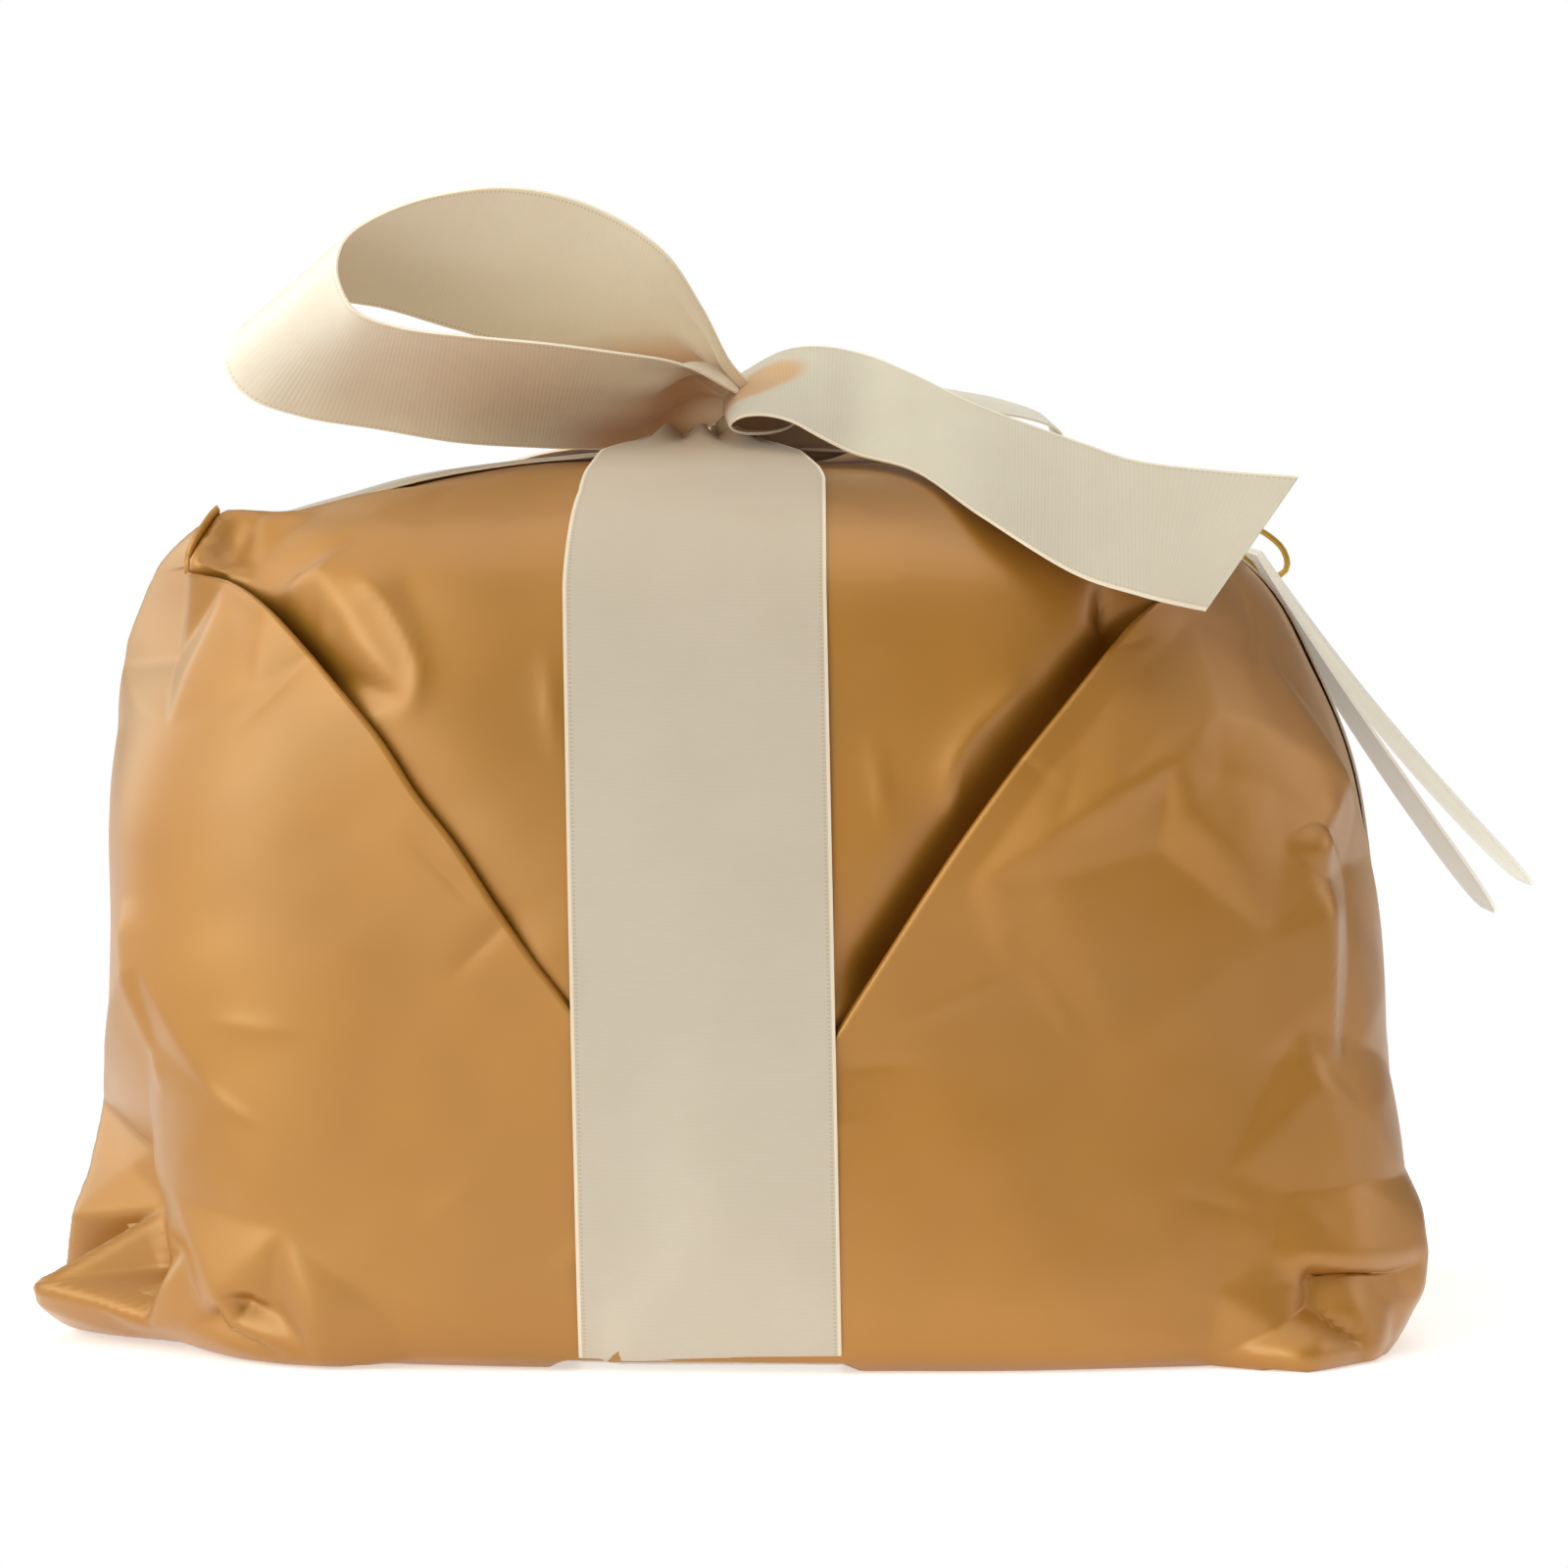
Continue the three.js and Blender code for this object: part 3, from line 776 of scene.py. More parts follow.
@dataclass(frozen=True)
class Flap:
    """One side flap of the wrap, folded in over the front or back panel along a slanting edge."""

    name: str
    side: Side
    hand: int  # -1 on the left as seen from the front, 1 on the right
    edge: tuple  # (x, z) down its folded edge
    lap: float = 0.0  # how much higher it lies than the other flap of its side


def steps(*spans: tuple) -> np.ndarray:
    """Values over several spans, each a start, an end and about how far apart."""
    parts = [np.linspace(a, b, max(1, round(abs(b - a) / gap)), endpoint=False) for a, b, gap in spans]
    return np.concatenate([*parts, [spans[-1][1]]])


@dataclass
class GoldWrap:
    """The sheet of gold film, folded up round the loaf: the body under the flaps, and the four flaps."""

    rng: np.random.Generator  # the seeded source of chance for the film's waves
    flaps: tuple = (
        Flap("film_flap_front_left", FRONT, -1, LEFT_EDGE),
        Flap("film_flap_front_right", FRONT, 1, RIGHT_EDGE, 0.9),
        Flap("film_flap_back_left", BACK, -1, tuple((x * 0.97, z) for x, z in LEFT_EDGE[2:])),
        Flap("film_flap_back_right", BACK, 1, tuple((x * 1.02, z) for x, z in RIGHT_EDGE[2:]), 0.9),
    )
    thick: float = 0.12
    under: float = -1.1  # how far the body lies below its flaps
    turned_under: float = -14.0  # how far the flaps run in below the foot
    waves: tuple = ((70, 0.7), (28, 0.12), (12, 0.03))  # how far apart, and how high
    crinkles: int = 60

    def __post_init__(self) -> None:
        """Shape the two layers of film."""
        self.shape = shape = FilmShape()
        waves = sum(shape.waves(self.rng, *sizes) for sizes in self.waves)
        crinkles = FilmLayer.crinkles(self.rng, self.crinkles)
        self.over = FilmLayer(shape, *CORNER_NETS, waves, *FLAP_NETS, *FLAP_FOLDS, *crinkles)
        self.edges = {flap.name: self.over.line(flap.side, flap.edge) for flap in self.flaps}
        height = shape.base[..., 2]
        under = self.under * np.ones(height.shape)
        for flap in self.flaps:
            where, away, _ = self.over.along(self.edges[flap.name])
            depth = np.zeros(height.shape)
            depth[where] = self.under * ease(away * flap.hand * (1 if flap.side is FRONT else -1) / 4 + 0.5)
            inner = (shape.base[..., 1] < 0) == (flap.side is FRONT)
            under = np.where(inner & (shape.base[..., 0] * flap.hand > 0), depth, under)
        under *= 1 - ease((height - 118) / 10)
        self.inner = FilmLayer(shape, *CORNER_NETS, waves + under, *PANEL_NETS, *PANEL_FOLDS, *crinkles)

    def body(self) -> bpy.types.Object:
        """Lay the closed body of the film.

        Returns:
            The body with thickness.
        """
        shape = self.shape
        half = shape.round / 2
        u = steps((-half, -92, 5), (-92, 92, 1.15), (92, half, 5))[:-1]
        v = steps((shape.v[0], -3, 8), (-3, 172, 1.15), (172, shape.top - 1, 2.5))
        gu, gv = np.meshgrid(u, v)
        places = self.inner.at(gu, gv)
        for pole in (0, -1):
            places[pole] = places[pole].mean(axis=0)
        obj = sheet_mesh("film_body", self.grounded(places, 0.3), closed=True)
        finish_with(obj, "SOLIDIFY", thickness=self.thick * MM, offset=-1)
        return obj

    @staticmethod
    def grounded(places: np.ndarray, rest: float) -> np.ndarray:
        """Keep film off the floor, and higher where a ribbon runs under it.

        Args:
            places: the film's places.
            rest: how high its lowest places lie.

        Returns:
            The places, none of them lower than that.
        """
        middles = (-2.0, 0.0)  # of the front band in x, and of the side band in y
        near = [1 - ease((np.abs(places[..., k] - middle) - 20.5) / 4) for k, middle in enumerate(middles)]
        floor = rest + 1.56 * np.maximum(*near)
        level = places.copy()
        level[..., 2] = np.maximum(places[..., 2], floor)
        return level

    def flap(self, flap: Flap) -> bpy.types.Object:
        """Lay one flap: rows run down its folded edge, columns from the edge round to the side ribbon.

        Args:
            flap: which flap.

        Returns:
            The flap.
        """
        shape = self.shape
        side = LEFT if flap.hand < 0 else RIGHT
        front = -1 if flap.side is FRONT else 1
        hidden = self.over.locate(side, -front, 60)[0]
        edge = self.edges[flap.name].copy()
        edge[:, 0] = shape.around(edge[:, 0], hidden)
        last = (edge[-1] - edge[-3]) / np.linalg.norm(edge[-1] - edge[-3])
        edge = np.vstack([edge, edge[-1] + last * -self.turned_under / -last[1]])
        edge = evenly(edge, 230)
        far = np.column_stack([np.full(230, hidden), np.linspace(edge[0, 1] - 1, self.turned_under, 230)])
        across = steps((0, 100, 0.85), (100, 132, 1.4)) / 132  # closer together where it shows
        width = np.linalg.norm(far - edge, axis=1)
        hem_reach, hem_lift = np.array(HEM).T
        hem = len(HEM)
        t = np.concatenate([hem_reach / 132, across])
        uv = edge[:, None, :] + (far - edge)[:, None, :] * t[None, :, None]
        reach = t[None, :] * width[:, None]
        lift = 0.5 + 0.45 * np.exp(-np.maximum(reach, 0) / 7)
        lift[:, :hem] = hem_lift[None, :]
        hem_share = hem_reach[None, :] / width[:, None]
        uv[:, :hem] = edge[:, None, :] + (far - edge)[:, None, :] * hem_share[..., None]
        lift += flap.lap
        shown = 1 - ease((uv[..., 1] - self.over.locate(FRONT, 0, 113)[1]) / 24)
        near_edge = np.exp(-np.maximum(reach, 0) / 5)
        lift = lift * np.maximum(shown, near_edge) - 1.4 * (1 - np.maximum(shown, near_edge))
        lift = lift * (0.3 + 0.7 * ease((uv[..., 1] + 1) / 6))
        places = self.grounded(self.over.at(uv[..., 0], uv[..., 1], lift), 0.1)
        if flap.hand * front < 0:
            places = places[:, ::-1]
        return sheet_mesh(flap.name, places)

    def build(self, bag: bpy.types.Object) -> list:
        """Make and dress the film over the bag, and return its body and its flaps.

        Args:
            bag: the bag that the film lies on; not used.

        Returns:
            The body, then the flaps.
        """
        gold = GoldFilm("gold_film").build()
        pieces = [self.body(), *[self.flap(flap) for flap in self.flaps]]
        for piece in pieces:
            dress(piece, gold, "gold_film", "gold_wrap")
        return pieces


# ---------------------------------------------------------------- the ribbon


@dataclass(frozen=True)
class Band:
    """A ribbon right round the parcel, drawn tight over the film."""

    name: str
    node: str
    along: int  # the axis that it runs along: 0 for x, 1 for y
    middle: float
    knot: tuple  # where it rises to the knot: its reach along the axis, and z


@dataclass(frozen=True)
class Ribbon:
    """Satin ribbon: bands drawn tight round the parcel, and free loops and tails."""

    width: float = 40.0
    thick: float = 0.4
    off: float = 0.3  # how far it stands off what it is drawn over
    centre_height: float = 66.0  # where each band is looked at from
    rounds: int = 600  # how many places round a band
    columns: int = 25  # how many across it

    def section(self, film: BVHTree, band: Band, across: float) -> np.ndarray:
        """The tight outline round the film at one place across a band.

        Args:
            film: the pieces that it is drawn over.
            band: which band.
            across: the place across the band, on the other level axis.

        Returns:
            Places (along the axis, z), evenly spaced from the middle of the base.
        """
        spots = [Vector(band.knot)]
        for degrees in np.arange(0, 360, 1.5):
            way = [0.0, 0.0, math.sin(math.radians(degrees))]
            way[band.along] = math.cos(math.radians(degrees))
            way = Vector(way)
            centre = Vector((0, 0, self.centre_height))
            centre[1 - band.along] = across
            hit = film.ray_cast(centre + way * 250, -way)[0]
            if hit:
                spots.append(Vector((hit[band.along], hit[2])))
        hull = np.array([spots[i] for i in convex_hull_2d(spots)])
        hull = hull[np.argsort(np.arctan2(hull[:, 1] - self.centre_height, hull[:, 0]))]
        ring = np.vstack([hull, hull[:1]])
        fine = evenly(ring, 4001)[:-1]
        low = np.argmin(np.hypot(fine[:, 0], fine[:, 1] + 1000 * (fine[:, 1] > self.centre_height)))
        return evenly(np.vstack([np.roll(fine, -low, axis=0), fine[low : low + 1]]), self.rounds + 1)[:-1]

    def band(self, film: list, band: Band) -> bpy.types.Object:
        """Draw a band tight over pieces.

        Args:
            film: the objects that it lies on.
            band: which band.

        Returns:
            The band as a closed strip with thickness.
        """
        tree = bvh_of(film)
        places_across = np.linspace(-self.width / 2, self.width / 2, 17) + band.middle
        table = np.array([self.section(tree, band, a) for a in places_across])
        mean = table.mean(axis=0)
        share = 0.3 * ease((mean[:, 1] - 4) / 10)[None, :, None]
        table = (1 - share) * table + share * mean
        for _ in range(6):
            table = (np.roll(table, 1, axis=1) + 2 * table + np.roll(table, -1, axis=1)) / 4
        way = np.roll(table, -1, axis=1) - np.roll(table, 1, axis=1)
        way /= np.linalg.norm(way, axis=-1, keepdims=True)
        table = table + np.stack([way[..., 1], -way[..., 0]], axis=-1) * (self.off + self.thick / 2)
        middle = table[8]
        knot_away = np.abs(middle[:, 0] - band.knot[0])
        on_top = middle[:, 1] > self.centre_height + 50
        near = np.interp(knot_away, [0, 12, 30, 55, 72, 88], [0.42, 0.52, 0.78, 0.86, 0.9, 1.0])
        far = np.interp(knot_away, [0, 12, 30, 50, 62], [0.42, 0.54, 0.82, 0.96, 1.0])
        lean = np.interp(middle[:, 1], [0, 120], [1.2, -1.2]) if band.along == 1 else 0 * near
        a = np.linspace(-1, 1, self.columns)
        narrow = np.where(on_top[:, None], np.where(a[None, :] < 0, near[:, None], far[:, None]), 1.0)
        shift = lean[:, None] + a[None, :] * (self.width / 2) * narrow
        index = np.clip((shift + self.width / 2) / self.width * 16, 0, 15.999)
        low = index.astype(int)
        part = (index - low)[..., None]
        s = np.arange(self.rounds)[:, None]
        flat = table[low, s] * (1 - part) + table[low + 1, s] * part
        gather = np.where(on_top, np.exp(-((knot_away / 16) ** 2)), 0)[:, None]
        flat[..., 1] += gather * 1.1 * np.cos(3.2 * math.pi * a[None, :])
        places = np.zeros((self.rounds, self.columns, 3))
        places[..., band.along] = flat[..., 0]
        places[..., 1 - band.along] = shift + band.middle
        places[..., 2] = flat[..., 1]
        if band.along == 0:
            places = places[:, ::-1]
        places = np.swapaxes(places, 0, 1)
        obj = sheet_mesh(band.name, places, closed=True)
        ring = np.vstack([places[12], places[12, :1]])
        ribbon_map(obj, float(np.linalg.norm(np.diff(ring, axis=0), axis=1).sum()), along_rows=False)
        finish_with(obj, "SOLIDIFY", thickness=self.thick * MM, offset=0)
        return obj

    @staticmethod
    def length(obj: bpy.types.Object) -> float:
        """A ribbon's length in metres, which its UV map holds in ribbon widths.

        Args:
            obj: the ribbon.

        Returns:
            The length.
        """
        uv = np.empty(len(obj.data.loops) * 2, np.float32)
        obj.data.uv_layers.active.uv.foreach_get("vector", uv)
        return round(float(uv[1::2].max()) * Ribbon.width * MM, 3)

    def strip(self, strip: "Strip") -> bpy.types.Object:
        """Lay a free stretch of ribbon through its stations.

        Args:
            strip: which stretch.

        Returns:
            The stretch with thickness.
        """
        both = smooth_line([[*near, *far] for near, far in strip.stations], strip.rows)
        near, far = both[:, :3], both[:, 3:]
        a = np.linspace(0, 1, strip.columns)
        places = near[:, None, :] * (1 - a[None, :, None]) + far[:, None, :] * a[None, :, None]
        out = np.cross(np.gradient(places, axis=0), np.gradient(places, axis=1))
        out /= np.maximum(np.linalg.norm(out, axis=-1, keepdims=True), 1e-9)
        run = np.concatenate([[0], np.cumsum(np.linalg.norm(np.diff(places.mean(axis=1), axis=0), axis=1))])
        rise = np.zeros(places.shape[:2])
        for end in strip.gathers:
            away = run if end == 0 else run[-1] - run
            fade = np.exp(-((away / strip.gather_reach) ** 1.5))[:, None]
            rise += fade * strip.gather * np.cos(2 * math.pi * strip.folds * a[None, :] + 1.1 * end)
        along = run / run[-1]
        for place, spread, height in strip.bows:
            rise += height * np.exp(-(((along - place) / spread) ** 2))[:, None] * (4 * a * (1 - a))[None, :]
        obj = sheet_mesh(strip.name, places + out * rise[..., None])
        ribbon_map(obj, float(run[-1]), along_rows=True)
        finish_with(obj, "SOLIDIFY", thickness=self.thick * MM, offset=0)
        return obj

    def tie(self, film: list, satin: bpy.types.Material) -> None:
        """Draw and dress the two bands over the film's body and its flaps, the second over the first.

        Args:
            film: the film's body, then its flaps.
            satin: the ribbon's finish.
        """
        laid = list(film)
        bands = (
            Band("band_sides", "ribbon_side_band", 0, 0.0, (7, 141.0)),
            Band("band_front", "ribbon_front_band", 1, -2.0, (-5, 142.6)),
        )
        for band in bands:
            laid.append(self.band(laid, band))
            dress(laid[-1], satin, "satin_ribbon", band.node)
        for piece in laid[-2:]:
            self.length(piece)

    def tie_bow(self, satin: bpy.types.Material) -> None:
        """Lay and dress the loops, the tails and the knot.

        Args:
            satin: the ribbon's finish, for the pieces that have none of their own.
        """
        # The loops and the front tail take lighter, painted-lit copies of the ribbon's finish.
        face = SatinPaintedLit("satin_painted_lit").build()
        lit_tail_satin = SatinTailPaintedLit("satin_tail_painted_lit").build()
        finishes = {"loop_left": face, "loop_right": face, "tail_front": lit_tail_satin}
        for strip in STRIPS:
            piece = self.strip(strip)
            dress(piece, finishes.get(strip.name, satin), "satin_ribbon", strip.node)
            self.length(piece)
        dress(Knot().build(), satin, "satin_ribbon", "ribbon_knot")


@dataclass(frozen=True)
class Strip:
    """A free stretch of ribbon, and how it is gathered at its ends and bowed between its edges."""

    name: str
    node: str
    stations: tuple  # pairs of places, at its near edge and its far edge, from the knot outwards
    gathers: tuple = (0,)  # 0 at its start, 1 at its end
    gather: float = 1.2
    bows: tuple = ()  # (share of its length, spread, height)
    rows: int = 160
    columns: int = 33
    gather_reach: float = 16
    folds: float = 3.0


LEFT_LOOP = (
    ((4, -10, 149.2), (1.5, -4, 145.6)), ((2, -14, 150.4), (-1.5, -3, 144.8)),
    ((-3, -20, 153), (-7, -1.5, 142.4)), ((-8, -28, 154.6), (-14, -2.5, 140.6)),
    ((-16, -38, 155.6), (-22, -3.5, 140.2)), ((-27, -45, 156.9), (-31, -5, 140.4)),
    ((-39, -47, 158), (-43, -8, 141.2)), ((-50, -47, 159.4), (-56, -10, 143.4)),
    ((-57, -47, 162), (-68, -12, 145.4)), ((-59.5, -47, 166), (-76.5, -14, 148.6)),
    ((-60, -47, 169.5), (-80, -15, 153.6)), ((-58.5, -47, 173.5), (-77, -15, 160)),
    ((-53.5, -47, 177), (-68, -15, 163.8)), ((-45, -47, 180), (-57, -14, 163.4)),
    ((-33, -46, 181.4), (-44, -12, 159.8)), ((-20.5, -42, 178.8), (-30, -8, 155.8)),
    ((-9, -36, 171.8), (-15, -5, 152.4)), ((-2.6, -24, 162.4), (-5, -2, 150)),
    ((1.6, -14, 153.8), (0.6, -3, 148.6)), ((5.4, -9, 149.6), (5, -3, 147.4)),
)
FRONT_TAIL = (
    ((13.5, -22, 145.2), (13.5, 6, 145.4)), ((10.5, -27, 143.3), (11, 7, 143.5)),
    ((6.5, -30, 142.6), (6, 6, 143.1)), ((2.9, -32, 142.9), (1.6, 5, 144)),
    ((1.8, -33, 143.9), (0.2, 4, 147)), ((3.4, -34, 145.2), (1.2, 2, 150.4)),
    ((7, -36, 145.6), (5, 0, 153.2)), ((11.5, -39, 144.6), (10.5, -3, 156)),
    ((16, -42.5, 142.2), (16.5, -6.5, 156.6)), ((21.3, -46, 139.6), (23.1, -10, 155.4)),
    ((30.5, -62, 137), (30.9, -25, 152.2)), ((40.6, -84, 130.2), (41.7, -46, 146.8)),
    ((55.1, -94.5, 121.4), (56.9, -57, 141.2)), ((63.9, -97, 118.6), (65.4, -61, 138.4)),
    ((69.4, -97.5, 117.2), (78, -62.5, 136.9)), ((74.1, -97, 116.2), (90.2, -65, 136)),
)
RIGHT_LOOP = (
    ((15.5, -12, 145.4), (15, 8, 146.2)), ((22, -10, 146.4), (21, 21, 150)),
    ((31, -8, 146.6), (29, 28, 150.6)), ((41, -6, 146), (39, 31, 149.4)),
    ((50, -4, 145), (48, 33, 147.6)), ((55.5, -3, 142.8), (54.5, 35, 144.8)),
    ((56, -3, 140.2), (55.5, 36, 141)), ((51, -4, 139.2), (50, 35, 138.6)),
    ((41, -6, 141), (39, 32, 139.8)), ((30, -8, 142.4), (29, 28, 141)),
    ((21, -10, 143.2), (21, 18, 142.4)), ((15.5, -10, 143.4), (15, 6, 143.6)),
)
BACK_TAIL = (
    ((1, 12, 143.6), (12, 13, 143.8)), ((-9, 24, 142.2), (13, 30, 142.6)),
    ((-23, 38, 140.2), (9, 50, 140.8)), ((-33, 56, 138.4), (3, 71, 136.6)),
    ((-41, 74, 135.4), (-4, 87, 131.6)), ((-47, 86, 128), (-11, 95.6, 122)),
    ((-51, 92, 115), (-14, 98.4, 108)), ((-53, 94, 101), (-15, 99.3, 96)),
    ((-51, 96, 88), (-16, 99.6, 74)),
)
STRIPS = (
    Strip("loop_left", "bow_loop_left", LEFT_LOOP, gathers=(0, 1), bows=((0.035, 0.04, -5.0),)),
    Strip("loop_right", "bow_loop_right", RIGHT_LOOP, gathers=(0, 1), gather=1.0),
    Strip("tail_front", "ribbon_tail_front", FRONT_TAIL, gathers=()),
    Strip("tail_back", "ribbon_tail_back", BACK_TAIL, gather=1.0),
)


@dataclass(frozen=True)
class Knot:
    """The ribbon's knot: a gathered turn of ribbon pulled tight."""

    centre: tuple = (11.6, -3.0, 143.6)
    reach: tuple = (12.4, 8.0, 5.6)

    def build(self) -> bpy.types.Object:
        """Make the knot.

        Returns:
            The knot.
        """
        deselect()
        bpy.ops.mesh.primitive_uv_sphere_add(segments=64, ring_count=40, radius=1)
        obj = bpy.context.object
        obj.name = "knot_turn"
        co = np.empty(len(obj.data.vertices) * 3, np.float32)
        obj.data.vertices.foreach_get("co", co)
        p = co.reshape(-1, 3).astype(float)
        around = np.arctan2(p[:, 2], p[:, 0])
        folds = np.cos(7 * p[:, 1] * 2 + 0.6 * np.sin(around))
        p *= (1 + 0.07 * folds * np.sqrt(1 - np.minimum(p[:, 1] ** 2, 1)))[:, None]
        p = p * np.array(self.reach) + np.array(self.centre)
        obj.data.vertices.foreach_set("co", (p * MM).astype(np.float32).ravel())
        obj.data.update()
        bpy.ops.object.shade_smooth()
        return obj


# ---------------------------------------------------------------- the tag and its thread


@dataclass(frozen=True)
class Tag:
    """The gift tag: two card leaves joined at a fold."""

    width: float = 44.0
    length: float = 71.0
    thick: float = 0.5
    corner: float = 13.0
    fold: tuple = (87.0, 0.0, 123.3)
    leaves: tuple = (  # each leaf's name, slope, bend and offset
        ("tag_leaf_inner", 56.0, -0.8, -0.35),
        ("tag_leaf_outer", 50.5, -1.7, 0.35),
    )
    twist: float = -1.6  # degrees by which each leaf turns at its end, about its length

    def leaf(self, name: str, slope: float, bend: float, offset: float) -> bpy.types.Object:
        """Make one leaf.

        Args:
            name: the piece's name.
            slope: degrees below level at which it hangs.
            bend: how far it bows at its middle.
            offset: how far it stands off the fold's middle.

        Returns:
            The leaf with thickness.
        """
        rows, columns = 72, 45
        t = np.linspace(0, 1, rows)
        x = t * self.length
        corner = np.maximum(x - (self.length - self.corner), 0)
        half = self.width / 2 - (self.corner - np.sqrt(np.maximum(self.corner**2 - corner**2, 0)))
        a = np.linspace(-1, 1, columns)
        out = offset + bend * np.sin(math.pi * t)
        c, s = math.cos(math.radians(slope)), math.sin(math.radians(slope))
        places = np.zeros((rows, columns, 3))
        across = half[:, None] * a[None, :]
        out = out[:, None] + across * (math.sin(math.radians(self.twist)) * ease(1.4 * t))[:, None]
        places[..., 0] = self.fold[0] + (x * c)[:, None] + out * s
        places[..., 1] = self.fold[1] + across
        places[..., 2] = self.fold[2] - (x * s)[:, None] + out * c
        obj = sheet_mesh(name, places)
        finish_with(obj, "SOLIDIFY", thickness=self.thick * MM, offset=0)
        return obj

    def build(self) -> None:
        """Make and dress both leaves."""
        # The card gets a painted glow, standing in for light falling on it.
        card = Plain("tag_card", 0xE4E1D8, 0xDEDACF, 0.5, glow=0.25).build()
        for leaf in self.leaves:
            dress(self.leaf(*leaf), card, "tag_card", "gift_tag")


THREAD_ROUTE = (
    (15.6, -13.4, 144.6), (19.5, -14.2, 143.2), (25, -14.5, 141.8), (36, -14, 140.6), (50, -12, 138.6),
    (60, -9, 136.8), (70, -6, 134.2), (79, -3, 130.6), (85, -1.2, 127.9), (88.8, -0.2, 126.5),
    (92.4, 0, 123.4), (93, 0.1, 120.4), (91.4, 0.2, 119), (90, 0.4, 118.5), (88.1, 0.8, 120.2),
    (85.6, 1.2, 122.5), (84, 1.4, 124.8),
)


@dataclass(frozen=True)
class Thread:
    """The gold thread that ties the tag to the bow."""

    diameter: float = 1.0
    route: tuple = THREAD_ROUTE

    def curve(self) -> bpy.types.Object:
        """Make the thread as a round curve along its route.

        Returns:
            The curve.
        """
        deselect()
        bpy.ops.curve.primitive_nurbs_path_add()
        obj = bpy.context.object
        obj.name = "gold_thread"
        line = smooth_line(self.route, 90) * MM
        curve = obj.data
        curve.splines.clear()
        spline = curve.splines.new("POLY")
        spline.points.add(len(line) - 1)
        for point, place in zip(spline.points, line):
            point.co = (*place, 1)
        curve.dimensions = "3D"
        curve.bevel_depth = self.diameter / 2 * MM
        curve.bevel_resolution = 3
        curve.use_fill_caps = True
        return obj

    def length(self) -> float:
        """Its length in metres."""
        line = smooth_line(self.route, 400)
        return round(float(np.linalg.norm(np.diff(line, axis=0), axis=1).sum()) * MM, 4)

    def build(self) -> None:
        """Make and dress the thread."""
        thread = self.curve()
        gold = Plain("gold_thread", 0xC9A24A, 0xB8913C, 0.3, 0.8).build()
        dress(thread, gold, "gold_thread", "tag_thread")
        self.length()


# ---------------------------------------------------------------- inside the wrap


